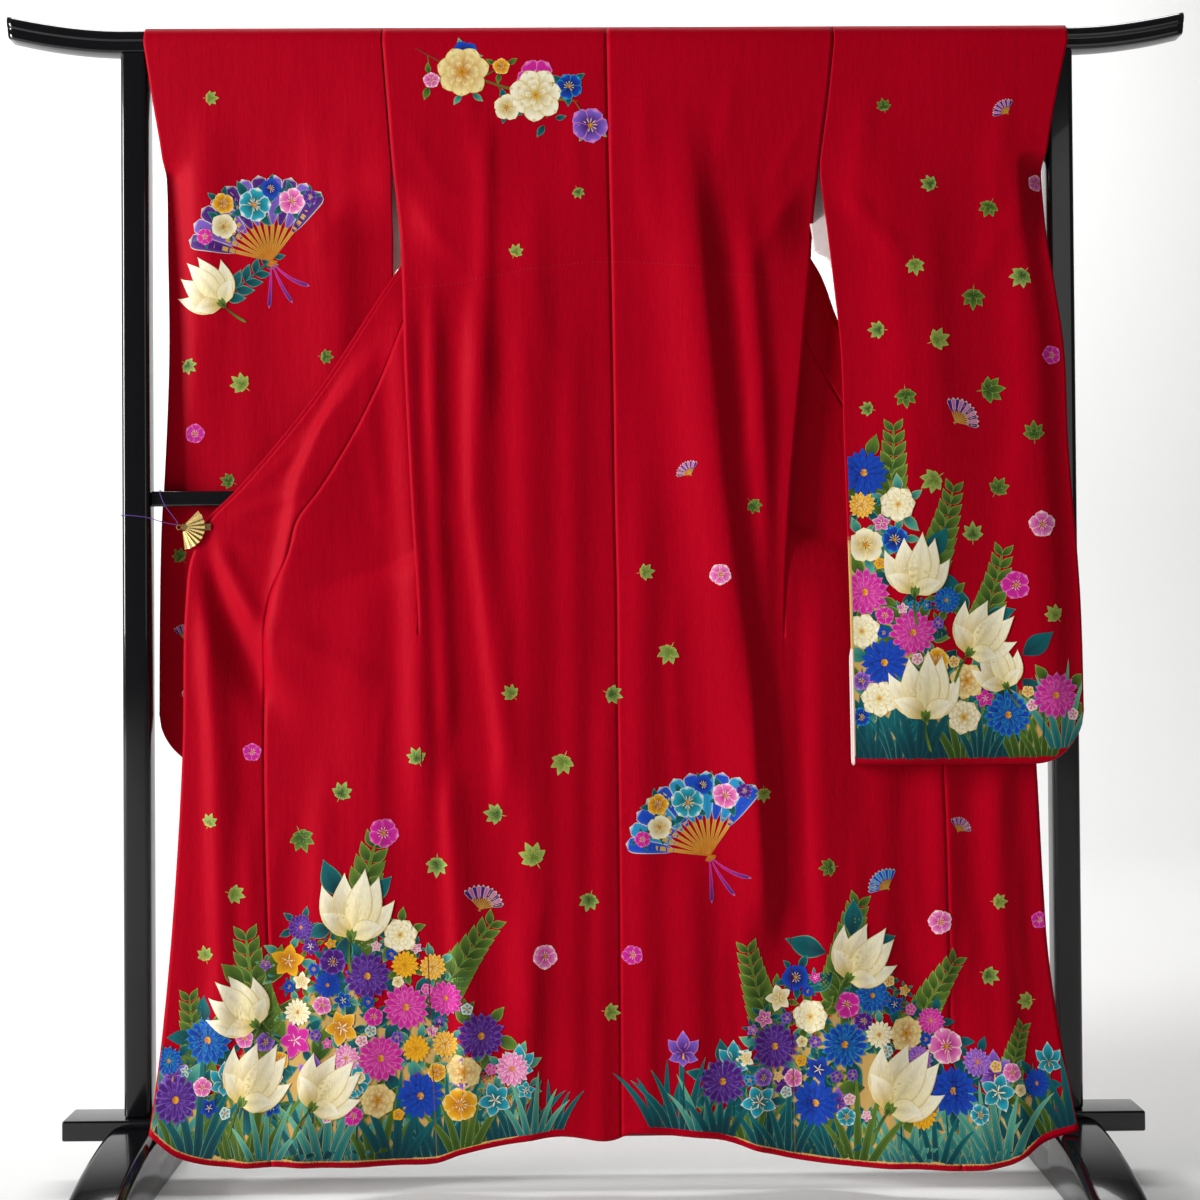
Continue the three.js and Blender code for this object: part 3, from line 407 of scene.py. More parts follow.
def track(rows, column):
    """The smooth curve through one column of a table by its first column, level beyond its ends.

    Between two rows it is the cubic whose slopes come from the rows on either side."""
    rows = rows[np.argsort(rows[:, 0])]
    knots, values = rows[:, 0], rows[:, column]
    last = len(knots) - 1

    def curve(at):
        at = np.clip(at, knots[0], knots[-1])
        here = np.clip(np.searchsorted(knots, at, side="right"), 1, last)
        start, end = knots[here - 1], knots[here]
        before = np.where(here == 1, end, knots[here - 2])
        after = np.where(here == last, start, knots[(here + 1) % (last + 1)])
        value_before = np.where(here == 1, values[here], values[here - 2])
        value_after = np.where(here == last, values[here - 1], values[(here + 1) % (last + 1)])
        p = (at - start) / (end - start)
        half = (end - start) / 2
        a, b = half / (start - before), half / (after - end)
        return (
            (-a * p**3 + 2 * a * p**2 - a * p) * value_before
            + ((1 + a) * p**3 + (-1.5 - 2 * a) * p**2 + (-0.5 + a) * p + 1) * values[here - 1]
            + ((-1 - b) * p**3 + (1.5 + b) * p**2 + 0.5 * p) * values[here]
            + (b * p**3 - b * p**2) * value_after
        )

    return curve


def folds_at(folds, x, z):
    """Height of soft folds: each is a bell with uneven flanks across a crest line that bends once.

    It swells over the first quarter of its way down and dies out over 140 mm below its end."""
    height = 0.0
    for top, middle, bottom, start, end, left_flank, right_flank, rise in folds:
        way = np.clip((start - z) / (start - end), 0.0, 1.0)
        crest = np.where(way < 0.5, mix(top, middle, way * 2), mix(middle, bottom, way * 2 - 1))
        swell = np.where(z > start, 0.0, smooth(way * 4)) * smooth((z - end + 140) / 140)
        flank = np.where(x < crest, left_flank, right_flank)
        height = height + rise * swell * np.exp(-(((x - crest) / flank) ** 2))
    return height


def creases_at(creases, x, z):
    """Height of straight creases: a bell across each line, which dies out towards both of its ends."""
    height = 0.0
    for x_a, z_a, x_b, z_b, half_width, rise in creases:
        length = math.hypot(x_b - x_a, z_b - z_a)
        right, up = (x_b - x_a) / length, (z_b - z_a) / length
        way = ((x - x_a) * right + (z - z_a) * up) / length
        off = (x - x_a) * up - (z - z_a) * right
        bow = 0.04 * length * np.sin(np.clip(way, 0, 1) * np.pi)
        taper = smooth(way * 3) * smooth((1 - way) * 3)
        height = height + rise * taper * np.exp(-(((off - bow) / half_width) ** 2))
    return height


def pucker(along, across):
    """Small uneven gathers beside a sewn seam: three sines along it, in a bell 9 mm wide across it."""
    wave = np.sin(along / 5.1) + 0.7 * np.sin(along / 8.3 + 1.0) + 0.5 * np.sin(along / 13.7)
    return 0.22 * wave * np.exp(-((across / 9.0) ** 2))


back_left, back_centre, back_right, back_level = (track(BACK, column) for column in (1, 2, 3, 4))
hem_at = track(HEM, 1)


def bend_at(z):
    """Roundness of the turn where a front comes out from behind the back: none at the rail."""
    return mix(6.0, 0.01, smooth((z - 1550) / 50))


class Half:
    """One half of the garment: its side seam, its front and the folds of its spread wing."""

    def __init__(self, name, sign, side_seam, rows, folds, creases, seam_rise):
        self.name, self.sign, self.side_seam, self.seam_rise = name, sign, side_seam, seam_rise
        self.edge, self.tuck, self.side, self.rim = (track(rows, column) for column in (1, 2, 3, 4))
        self.folds, self.creases = folds, creases

    def width(self, z):
        """Width of the front at a height, measured along the cloth round its turn."""
        tuck, bend = self.tuck(z), bend_at(z)
        turned = np.hypot(tuck, bend) - self.sign * (self.edge(z) - self.side_seam(z))
        return tuck + np.sqrt(np.maximum(0.0, turned**2 - bend**2))


left = Half("left", 1, back_left, FRONT_LEFT, WING_FOLDS_LEFT, WING_CREASES_LEFT, 12.0)
right = Half("right", -1, back_right, FRONT_RIGHT, WING_FOLDS_RIGHT, WING_CREASES_RIGHT, 3.0)


def seam_ridge(half, x, z):
    """Height of the soft ridge that a side seam pulls out between waist and knee: a bell across it."""
    window = smooth((1300 - z) / 160) * smooth((z - 400) / 280)
    return half.seam_rise * window * np.exp(-(((x - half.side_seam(z)) / 25) ** 2))


def back_depth(half, x, z):
    """Y of the back's wall: its own depth, eased to the front's at the side seam, less the folds."""
    inward = np.abs(x - half.side_seam(z))
    sewn = half.side(z) - SEAM_LIFT * smooth(half.tuck(z) / 24)
    seam_depth = mix(sewn, back_level(z), smooth((z - 1335) / 115))
    flat = mix(seam_depth, back_level(z), smooth(inward / 60))
    swell = smooth((inward - 6) / 40)
    to_centre = np.abs(x - back_centre(z))
    folds = folds_at(BACK_FOLDS, x, z) + creases_at(BACK_CREASES, x, z) * smooth((1628 - z) / 60)
    seam_dip = 0.7 * np.exp(-((to_centre / 2.6) ** 2))
    return flat - folds * swell - pucker(z, to_centre) + seam_dip - seam_ridge(half, x, z)


def front_point(half, along, z):
    """A point of a front, at a distance from the side seam measured along the cloth.

    The cloth runs inward behind the back for the tucked width, turns round a bend and runs outward."""
    tuck, bend = half.tuck(z), bend_at(z)
    inward = np.hypot(tuck, bend) - np.hypot(along - tuck, bend)
    x = half.side_seam(z) + half.sign * (inward - SEAM / 2)
    before = np.minimum(tuck, 8)
    after = mix(240, 14, smooth(tuck / 30))
    turned = smooth((along - tuck + before) / (before + after))
    flat = mix(half.side(z), half.rim(z), turned)
    swell = smooth((along - tuck - 20) / 40) * smooth((half.width(z) - along) / 45)
    folds = folds_at(half.folds, x, z) + creases_at(half.creases, x, z)
    okumi = np.abs(along - BODY_WIDTH)
    seam_dip = (0.4 * np.exp(-((okumi / 2.8) ** 2)) - pucker(z, okumi)) * smooth((along - tuck - 20) / 20)
    y = flat - folds * swell + seam_dip - seam_ridge(half, x, z)
    return np.stack([x + 0 * z, y, z + 0 * x], axis=-1)


BODY_WIDTH = 232.0


def front_hem(half, along):
    """Height of the hem at one place of a front."""
    return hem_at(front_point(half, along, np.full_like(along, HEM_LEVEL))[..., 0])


def over_rail(turn):
    """Y and Z of cloth on the rail, from 0 on the -Y side to 1 on the +Y side: half an oval."""
    angle = np.pi * (1 - turn)
    return TURN["half_depth"] * np.cos(angle), TURN["z"] + TURN["rise"] * np.sin(angle)


def grid_cells(rows, columns, first=0, wrap=False):
    """Four-sided cells of a grid of points, counter-clockwise seen from the side that faces out."""
    i = np.arange(columns - (0 if wrap else 1))
    after = (i + 1) % columns
    j = np.arange(rows - 1)[:, None] * columns
    cells = np.stack([j + i, j + after, j + after + columns, j + i + columns], axis=-1)
    return (first + cells).reshape(-1, 4)


def unit(vectors):
    """The same directions with a length of one."""
    return vectors / np.maximum(np.linalg.norm(vectors, axis=-1, keepdims=True), 1e-9)


def cloth_piece(name, points, cells, uv, wall, lined_cells=None, flip=False, doubled=False):
    """A thin closed shell round a sheet of points: half the wall out, half in, and a rim at free edges.

    Its outer face is silk, its inner face lining, or silk too on a doubled band. uv is given for
    each point or for each cell corner. The map lays the outer face in its left half, the inner
    face in its right half, and the rim in a strip between."""
    corners = uv if uv.ndim == 3 else uv[cells]
    if flip:
        cells, corners = cells[:, ::-1], corners[:, ::-1]
    a, b, c, d = (points[cells[:, k]] for k in range(4))
    turn = np.cross(c - a, d - b)
    normals = np.zeros_like(points)
    for k in range(4):
        np.add.at(normals, cells[:, k], turn)
    normals = unit(normals)
    half = (np.asarray(wall) * 0.5).reshape(-1, 1) * np.ones((len(points), 1))
    count = len(points)
    both = np.concatenate([points + normals * half, points - normals * half])
    edges = np.concatenate([cells[:, [k, (k + 1) % 4]] for k in range(4)])
    key = edges[:, 0] * count + edges[:, 1]
    free = edges[~np.isin(key, edges[:, 1] * count + edges[:, 0])]
    rims = np.stack([free[:, 1], free[:, 0], free[:, 0] + count, free[:, 1] + count], axis=-1)
    faces = np.concatenate([cells, cells[:, ::-1] + count, rims])
    materials = np.zeros(len(faces), dtype=np.int32)
    materials[len(cells):] = 0 if doubled else 1
    materials[2 * len(cells):] = 0
    if lined_cells is not None:
        materials[:len(cells)][lined_cells] = 1
    piece = place_mesh(name, both, faces.tolist(), [silk, lining], materials)
    outer_uv = corners * (0.47, 0.98) + (0.01, 0.01)
    inner_uv = corners[:, ::-1] * (0.47, 0.98) + (0.52, 0.01)
    rim_v = np.arange(len(rims)) / max(len(rims), 1)
    rim_step = 0.9 / max(len(rims), 1)
    rim_uv = np.stack([
        np.stack([np.full_like(rim_v, u), rim_v * 0.98 + 0.01 + v * rim_step], axis=-1)
        for u, v in ((0.49, 0.0), (0.49, 1.0), (0.51, 1.0), (0.51, 0.0))
    ], axis=1)
    layer = piece.data.uv_layers.new(name="OFBake")
    flat_uv = np.concatenate([outer_uv.reshape(-1, 2), inner_uv.reshape(-1, 2), rim_uv.reshape(-1, 2)])
    layer.data.foreach_set("uv", flat_uv.astype(np.float32).ravel())
    return piece


HEM_ROLL = {"rise": 3.6, "middle": 5.0, "half_width": 3.6}


def hem_roll(distance):
    """Wall of the cloth near its hem, where the lining rolls over a thin wad: a bell on the even wall."""
    off = (distance - HEM_ROLL["middle"]) / HEM_ROLL["half_width"]
    return WALL + HEM_ROLL["rise"] * np.exp(-(off**2))


# Crimson crepe: fine upright crinkles, a soft sheen, cloudy depth of dye, and gold dust in a mask.
silk, gloss, nodes, wire = shader("crimson_crepe", {
    "Sheen Weight": 0.07, "Sheen Roughness": 0.35, "Sheen Tint": (1.0, 0.08, 0.14, 1.0),
    "Specular IOR Level": 0.1, "Specular Tint": (1.0, 0.2, 0.25, 1.0)})
where = add_node(nodes, "ShaderNodeTexCoord")
upright_grain = add_node(nodes, "ShaderNodeMapping", Scale=(1.0, 1.0, 0.16))
grain = add_node(nodes, "ShaderNodeTexNoise", Scale=420.0, Detail=3.0, Roughness=0.65)
slub = add_node(nodes, "ShaderNodeTexNoise", Scale=70.0, Detail=3.0, Roughness=0.6)
dye = add_node(nodes, "ShaderNodeTexNoise", Scale=5.5, Detail=3.0)
shade = add_node(nodes, "ShaderNodeMix", data_type="RGBA")
shade.inputs["A"].default_value = (0.36, 0.0, 0.0085, 1.0)
shade.inputs["B"].default_value = (0.46, 0.0004, 0.013, 1.0)
threads = add_node(nodes, "ShaderNodeMix", data_type="RGBA", blend_type="MULTIPLY")
threads.inputs["Factor"].default_value = 0.4
pale = add_node(nodes, "ShaderNodeMapRange", **{
    "From Min": 0.3, "From Max": 0.7, "To Min": 0.72, "To Max": 1.12})
dusted = add_node(nodes, "ShaderNodeAttribute", attribute_name="gold")
specks = add_node(nodes, "ShaderNodeTexNoise", Scale=520.0, Detail=2.0, Roughness=0.8)
falls = add_node(nodes, "ShaderNodeMath", operation="MULTIPLY_ADD")
falls.inputs[1].default_value = 1.15
falls.inputs[2].default_value = -0.86
cover = add_node(nodes, "ShaderNodeMath", operation="ADD")
sharp = add_node(nodes, "ShaderNodeMath", operation="MULTIPLY", use_clamp=True)
sharp.inputs[1].default_value = 5.0
gilded = add_node(nodes, "ShaderNodeMix", data_type="RGBA")
gilded.inputs["B"].default_value = (0.6, 0.38, 0.12, 1.0)
crinkle = add_node(nodes, "ShaderNodeBump", Strength=0.34, Distance=0.0006)
soft = add_node(nodes, "ShaderNodeBump", Strength=0.3, Distance=0.0022)
polish = add_node(nodes, "ShaderNodeMapRange", **{"To Min": 0.56, "To Max": 0.4})
wire(
    (upright_grain, "Vector", grain, "Vector"), (upright_grain, "Vector", slub, "Vector"),
    (where, "Object", dye, "Vector"), (where, "Object", specks, "Vector"),
    (where, "Object", upright_grain, "Vector"), (dye, "Fac", shade, "Factor"),
    (grain, "Fac", pale, "Value"), (shade, "Result", threads, "A"), (pale, "Result", threads, "B"),
    (dusted, "Fac", falls, 0), (falls, "Value", cover, 0), (specks, "Fac", cover, 1),
    (cover, "Value", sharp, 0), (threads, "Result", gilded, "A"), (sharp, "Value", gilded, "Factor"),
    (gilded, "Result", gloss, "Base Color"), (sharp, "Value", polish, "Value"),
    (polish, "Result", gloss, "Roughness"), (slub, "Fac", soft, "Height"),
    (grain, "Fac", crinkle, "Height"), (soft, "Normal", crinkle, "Normal"),
    (crinkle, "Normal", gloss, "Normal"))

# Lining: plain pale silk, faintly pink, with a weak upright slub.
lining, gloss, nodes, wire = shader("pale_lining", {"Roughness": 0.5, "Sheen Weight": 0.15})
where = add_node(nodes, "ShaderNodeTexCoord")
drawn = add_node(nodes, "ShaderNodeMapping", Scale=(1.0, 1.0, 0.1))
slub = add_node(nodes, "ShaderNodeTexNoise", Scale=260.0, Detail=3.0)
tone = add_node(nodes, "ShaderNodeMix", data_type="RGBA")
tone.inputs["A"].default_value = (0.72, 0.6, 0.58, 1.0)
tone.inputs["B"].default_value = (0.82, 0.73, 0.71, 1.0)
weave = add_node(nodes, "ShaderNodeBump", Strength=0.2, Distance=0.0006)
wire(
    (where, "Object", drawn, "Vector"), (drawn, "Vector", slub, "Vector"), (slub, "Fac", tone, "Factor"),
    (tone, "Result", gloss, "Base Color"), (slub, "Fac", weave, "Height"),
    (weave, "Normal", gloss, "Normal"))


# Upper edges of the flower banks along the hem and on the right sleeve: X and Z.
BANK = np.array([
    (-640, 170), (-560, 232), (-470, 332), (-385, 418), (-300, 392), (-220, 300), (-140, 190), (-70, 104),
    (0, 80), (70, 92), (140, 142), (230, 250), (320, 332), (400, 300), (480, 222), (560, 172), (664, 150),
], dtype=float)
SLEEVE_BANK = np.array([
    (350, 1046), (400, 1000), (450, 908), (500, 815), (560, 745), (620, 706), (684, 692)], dtype=float)
bank_top, sleeve_bank = track(BANK, 1), track(SLEEVE_BANK, 1)


def gold_ground(x, z, top, floor):
    """How thickly gold dust lies: 1 low in a bank of flowers, cloudy above, and none on the hem roll."""
    cloud = 20 * np.sin(x / 41.0) + 13 * np.sin(x / 19.0 + 2.0) + 8 * np.sin(x / 8.5 + 0.6)
    height = mix(floor, top, 0.72) + cloud
    return smooth((height - z) / 70) * smooth((z - floor - 8) / 4) * smooth((top - floor - 60) / 60)


def dust(piece, count, strength):
    """Writes how thickly gold dust lies at each point. Only the outer face, the first points, has any."""
    layer = piece.data.attributes.new("gold", "FLOAT", "POINT")
    values = np.zeros(len(piece.data.vertices), dtype=np.float32)
    values[:count] = strength.ravel()
    layer.data.foreach_set("value", values)


BODY = {"outer_columns": 40, "inner_columns": 16, "rows": 270, "turn_rows": 14, "seam_top": 1334.0}


def body_sheet(half):
    """Points, cells, UV, wall and gold of one body panel.

    The back grid runs from the hem up to the crown of the rail. The front grid starts from the
    crown row's outer columns, comes down behind and then out as the wing, and ends at its hem.
    Below the armhole opening a narrow strip closes the side seam between the two."""
    outer, inner = BODY["outer_columns"], BODY["inner_columns"]
    neck = abs(half.edge(TURN["z"]) - half.side_seam(TURN["z"]))
    neck = neck / abs(back_centre(TURN["z"]) - half.side_seam(TURN["z"]))
    shares = np.concatenate([np.linspace(0, neck, outer + 1), np.linspace(neck, 1, inner + 1)[1:]])[None, :]

    def back_x(z):
        return mix(half.side_seam(z) + half.sign * SEAM / 2, back_centre(z) - half.sign * SEAM / 2, shares)

    # The back, from hem to rail and then to the crown of the rail.
    rows = np.linspace(0, 1, BODY["rows"] + 1)[:, None]
    z = mix(hem_at(back_x(HEM_LEVEL)), TURN["z"], rows)
    x = back_x(z)
    back_grid = np.stack([x, back_depth(half, x, z), z], axis=-1)
    turn = np.linspace(0, 0.5, BODY["turn_rows"] // 2 + 1)[1:, None]
    y, z_turn = over_rail(turn)
    x_turn = np.broadcast_to(back_x(TURN["z"]), (len(turn), x.shape[1]))
    crown = np.stack(np.broadcast_arrays(x_turn, y, z_turn), axis=-1)
    first = np.concatenate([back_grid, crown])

    # The front, from just past the crown down to its hem.
    turn = np.linspace(0.5, 1, BODY["turn_rows"] // 2 + 1)[1:-1, None]
    y, z_turn = over_rail(turn)
    x_turn = np.broadcast_to(back_x(TURN["z"])[:, :outer + 1], (len(turn), outer + 1))
    behind = np.stack(np.broadcast_arrays(x_turn, y, z_turn), axis=-1)
    share = np.linspace(0, 1, outer + 1)[None, :]
    down = np.linspace(0, 1, BODY["rows"] + 1)[:, None]
    z = mix(TURN["z"], front_hem(half, share * BODY_WIDTH), down)
    reach = np.minimum(BODY_WIDTH, half.width(z))
    front = front_point(half, share * reach, z)
    second = np.concatenate([behind, front])

    points = np.concatenate([first.reshape(-1, 3), second.reshape(-1, 3)])
    columns = outer + inner + 1
    back_cells = grid_cells(len(first), columns)
    base = first.shape[0] * columns
    front_cells = grid_cells(len(second), outer + 1, base)
    i = np.arange(outer)
    crown_row = base - columns
    join = np.stack([crown_row + i, crown_row + i + 1, base + i + 1, base + i], axis=-1)
    level = np.arange(BODY["rows"])
    level = level[back_grid[level + 1, 0, 2] < BODY["seam_top"]]
    on_front = base + (len(behind) + BODY["rows"] - level) * (outer + 1)
    sewn = np.stack([
        level * columns, (level + 1) * columns, on_front - (outer + 1), on_front], axis=-1)
    cells = np.concatenate([back_cells, join, front_cells, sewn])

    total = len(first) + len(second)
    back_uv = np.stack(np.broadcast_arrays(shares, np.arange(len(first))[:, None] / total), axis=-1)
    front_v = (len(first) + np.arange(len(second))[:, None]) / total
    front_uv = np.stack(np.broadcast_arrays(shares[:, :outer + 1], front_v), axis=-1)
    uv = np.concatenate([back_uv.reshape(-1, 2), front_uv.reshape(-1, 2)])[cells] * (0.97, 1) + (0.03, 0)
    strip_v = np.stack([level, level + 1, level + 1, level], axis=-1) / total
    uv[-len(level):] = np.stack([np.broadcast_to((0, 0, 0.02, 0.02), strip_v.shape), strip_v], axis=-1)

    hem_back = first[..., 2] - hem_at(first[..., 0])
    hem_front = second[..., 2] - second[-1:, :, 2]
    wall = hem_roll(np.concatenate([hem_back.ravel(), hem_front.ravel()]))
    x, z = points[:, 0], points[:, 2]
    gold = gold_ground(x, z, bank_top(x), hem_at(x))
    gold[len(first) * columns:][: len(behind) * (outer + 1)] = 0
    gold = np.where(points[:, 2] < 700, gold, 0)
    return points, cells, uv, wall, gold


for half in (left, right):
    points, cells, uv, wall, gold = body_sheet(half)
    body = cloth_piece(f"body_{half.name}_crepe", points, cells, uv, wall, flip=half.sign < 0)
    dust(body, len(points), gold)
    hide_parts(f"body_{half.name}")

# ---------------------------------------------------------------- overlap panels
# A narrow length of the same crepe (the okumi) is sewn to the free edge of each front. It starts
# where the front has grown wider than the body's own cloth, and makes the flared lower corner.

OKUMI = {"columns": 26, "rows": 236, "least": 10.0}

for half in (left, right):
    start = BODY_WIDTH + SEAM
    heights = np.linspace(1500.0, 900.0, 601)
    top = heights[np.argmax(half.width(heights) >= start + OKUMI["least"])]
    share = np.linspace(0, 1, OKUMI["columns"] + 1)[None, :]
    down = np.linspace(0, 1, OKUMI["rows"] + 1)[:, None]
    hem = front_hem(half, mix(start, half.width(HEM_LEVEL), share))
    z = mix(top, hem, down)
    panel = front_point(half, mix(start, half.width(z), share), z)
    points = panel.reshape(-1, 3)
    uv = np.stack(np.broadcast_arrays(share, down), axis=-1).reshape(-1, 2)
    wall = hem_roll((panel[..., 2] - panel[-1:, :, 2]).ravel())
    okumi = cloth_piece(
        f"okumi_{half.name}_crepe", points, grid_cells(*panel.shape[:2]), uv, wall, flip=half.sign < 0)
    x, z = points[:, 0], points[:, 2]
    dust(okumi, len(points), gold_ground(x, z, bank_top(x), hem_at(x)))
    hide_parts(f"okumi_{half.name}")

# ---------------------------------------------------------------- collar
# One folded band of crepe, sewn along both front edges and behind the neck. It turns to the
# inside of the fronts and stands up over the rail behind the neck.

COLLAR = {
    "lowest": 944.0, "neck_level": 1612.0, "band": 6.5, "show": 8.0, "hidden": 40.0,
    "offset": 3.4, "rows": 20, "neck_left": -74.0, "neck_right": 98.0,
}


def collar_side(half, share, z):
    """The band beside a front's edge, 0 on its sewn side and 1 on its free side, behind the front."""
    below = COLLAR["neck_level"] - z
    hidden = COLLAR["hidden"] * smooth((below - 12) / 170)
    show = COLLAR["show"] * smooth((below - 52) / 120)
    point = front_point(half, half.width(z) + mix(show, -hidden, share), z)
    point[..., 1] += COLLAR["offset"]
    return point


def collar_neck(share, along, raised):
    """The band behind the neck: up from its free edge, then forward over the rail to its sewn side."""
    sewn = COLLAR["band"] * (1 - share)
    x = mix(COLLAR["neck_left"] - sewn, COLLAR["neck_right"] + sewn, along)
    straight = 2 / 8
    up = (1 - share) * raised
    y_over, z_over = over_rail(1 - 0.47 * (up - straight) / (1 - straight))
    low = up <= straight
    y = np.where(low, TURN["half_depth"], y_over)
    z = np.where(low, mix(COLLAR["neck_level"], TURN["z"], up / straight), z_over)
    return np.stack(np.broadcast_arrays(x, y, z), axis=-1)


share = np.linspace(0, 1, COLLAR["rows"] + 1)[None, :]
side_levels = np.concatenate([
    np.linspace(COLLAR["lowest"], 1560.0, 96), np.linspace(1564.0, TURN["z"] - 1.4, 14)])[:, None]
corner = np.linspace(0, 1, 15)[:-1, None]
along = np.linspace(0, 1, 31)[:, None]
band = np.concatenate([
    collar_side(left, share, side_levels),
    collar_neck(share, 0.0, corner),
    collar_neck(share, along, 1.0),
    collar_neck(share, 1.0, corner[::-1]),
    collar_side(right, share, side_levels[::-1]),
])
length_share = np.linspace(0, 1, len(band))[:, None]
uv = np.stack(np.broadcast_arrays(share, length_share), axis=-1).reshape(-1, 2)
collar = cloth_piece(
    "collar_crepe", band.reshape(-1, 3), grid_cells(*band.shape[:2]), uv,
    np.full(band[..., 0].size, WALL), doubled=True)
dust(collar, band[..., 0].size, np.zeros(band[..., 0].size))
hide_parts("collar")

# ---------------------------------------------------------------- sleeves
# Each sleeve is one length of crepe folded at the bottom: a deep bag, open at the cuff and along
# its body side, with a round outer corner. It hangs from its shoulder over the rail.

# Height, X of the body-side edge and of the cuff-side edge, Y of the near and of the far layer.
SLEEVE_LEFT = np.array([
    (1640, -311, -654, -20.5, 20.5), (1560, -303, -642, -20, 22), (1465, -297, -629, -13, 23),
    (1340, -299, -628, -1, 23), (1197, -300, -628, 7, 23), (1010, -300, -637, 13.5, 25),
    (955, -300, -641, 13.5, 26), (838, -301, -644, 12, 26), (600, -302, -646, 12, 26),
], dtype=float)
SLEEVE_RIGHT = np.array([
    (1640, 341, 681, -20.5, 20.5), (1563, 331, 663, -25, 22), (1500, 324, 650, -30, 21),
    (1451, 319, 642, -35, 8), (1400, 322, 640, -42, -14), (1340, 327, 641, -50, -36),
    (1284, 332, 648, -56, -43), (1187, 341, 660, -60, -46), (1056, 344, 664, -62, -47),
    (828, 350, 679, -63, -47), (600, 353, 683, -62, -47),
], dtype=float)
SLEEVE = {
    "bottom": 602.0, "corner": 72.0, "cuff_end": 1450.0, "sewn_to": 1455.0, "pinch": 0.86,
    "levels": 190, "columns": 58, "curl": 8, "turn_rows": 14, "far_reach": 20, "far_short": 4,
}

# Folds and creases of the near layers, as in the body's tables.
SLEEVE_FOLDS_LEFT = [(-372, -376, -380, 1560, 1160, 52, 27, 7), (-560, -566, -580, 1560, 1150, 30, 36, 4)]
SLEEVE_FOLDS_RIGHT = [
    (404, 448, 426, 1520, 620, 42, 78, 10), (590, 606, 618, 1560, 760, 26, 30, 5),
]
SLEEVE_CREASES_LEFT = [
    (-560, 1600, -545, 1180, 20, 1.5), (-400, 1610, -388, 1260, 18, 1.4),
    (-480, 1500, -500, 900, 22, 1.5), (-350, 1180, -345, 760, 16, 1.2),
    (-590, 1250, -600, 820, 16, 1.2), (-430, 900, -420, 640, 17, 1.2),
    (-330, 1440, -420, 1330, 13, 1.0),
]
SLEEVE_CREASES_RIGHT = [
    (600, 1600, 560, 1240, 18, 2.2), (400, 1600, 372, 1300, 17, 2.0),
    (340, 1450, 450, 1290, 16, 2.0), (630, 1420, 520, 1250, 15, 1.7),
    (480, 1480, 500, 980, 22, 2.2), (400, 1180, 410, 700, 18, 2.2),
    (600, 1120, 590, 700, 17, 2.0), (540, 900, 545, 640, 15, 1.8),
    (352, 880, 500, 868, 8, 0.9), (500, 868, 668, 878, 8, 0.9), (445, 760, 440, 630, 15, 1.5),
]


class Sleeve:
    """One sleeve bag: its table as curves, and the folds and creases of its near layer."""

    def __init__(self, half, rows, folds, creases):
        self.half, self.outward, self.folds, self.creases = half, -half.sign, folds, creases
        self.inner, self.outer, self.near, self.far = (track(rows, column) for column in (1, 2, 3, 4))

    def x(self, share, z):
        """X at a share of the width: beside the armhole seam near the shoulder, free below it."""
        sewn = self.half.side_seam(z) + self.outward * 1.02
        inner = np.where(z > SLEEVE["sewn_to"], sewn, self.inner(z))
        inner = np.maximum(inner, sewn) if self.outward > 0 else np.minimum(inner, sewn)
        return mix(inner, self.outer(z), share)

    def far_x(self, share, z):
        """X of the far layer: 20 mm further in where the armhole shows it, and 4 mm shorter below."""
        reach = SLEEVE["far_reach"] * smooth((1450 - z) / 24) * smooth((z - 1318) / 14)
        short = SLEEVE["far_short"] * smooth((1316 - z) / 20) * smooth((z - 745) / 30)
        return mix(self.x(0.0, z) - (reach - short) * self.outward, self.outer(z), share)

    def layers(self, share, z):
        """Y of both layers: sewn to the body at the shoulder, pinched together at the far edge."""
        by_seam = (1 - smooth(share / 0.3)) * smooth((z - 1350) / 100)
        near = mix(self.near(z), back_level(z), by_seam)
        far = mix(self.far(z), self.half.side(z), by_seam)
        closed = smooth((SLEEVE["cuff_end"] + 30 - z) / 30)
        pinch = closed * smooth((share - SLEEVE["pinch"]) / (1 - SLEEVE["pinch"]))
        spread = mix((far - near) / 2, (2 + SEAM) / 2, pinch)
        return (far + near) / 2 - spread, (far + near) / 2 + spread

    def relief(self, share, z):
        """How far folds and creases lift a layer, dying out at the seam, the far edge and the rail."""
        free = smooth(share / 0.08) * smooth((1 - share) / 0.12) * smooth((1628 - z) / 70)
        x = self.x(share, z)
        return (folds_at(self.folds, x, z) + creases_at(self.creases, x, z)) * free

    def bottom(self, share):
        """Height of the lower edge, with its outer corner rounded by a quarter circle."""
        width = abs(self.outer(SLEEVE["bottom"]) - self.inner(SLEEVE["bottom"]))
        corner = SLEEVE["corner"]
        inside = np.clip(corner - (1 - share) * width, 0.0, corner)
        return SLEEVE["bottom"] + corner - np.sqrt(corner**2 - inside**2)

    def point(self, share, z, near=True):
        """A point of the near or the far layer."""
        front, rear = self.layers(share, z)
        relief = self.relief(share, z)
        y = front - relief if near else rear - relief * 0.5
        x = self.x(share, z) if near else self.far_x(share, z)
        return np.stack(np.broadcast_arrays(x, y, z), axis=-1)


sleeve_left = Sleeve(left, SLEEVE_LEFT, SLEEVE_FOLDS_LEFT, SLEEVE_CREASES_LEFT)
sleeve_right = Sleeve(right, SLEEVE_RIGHT, SLEEVE_FOLDS_RIGHT, SLEEVE_CREASES_RIGHT)


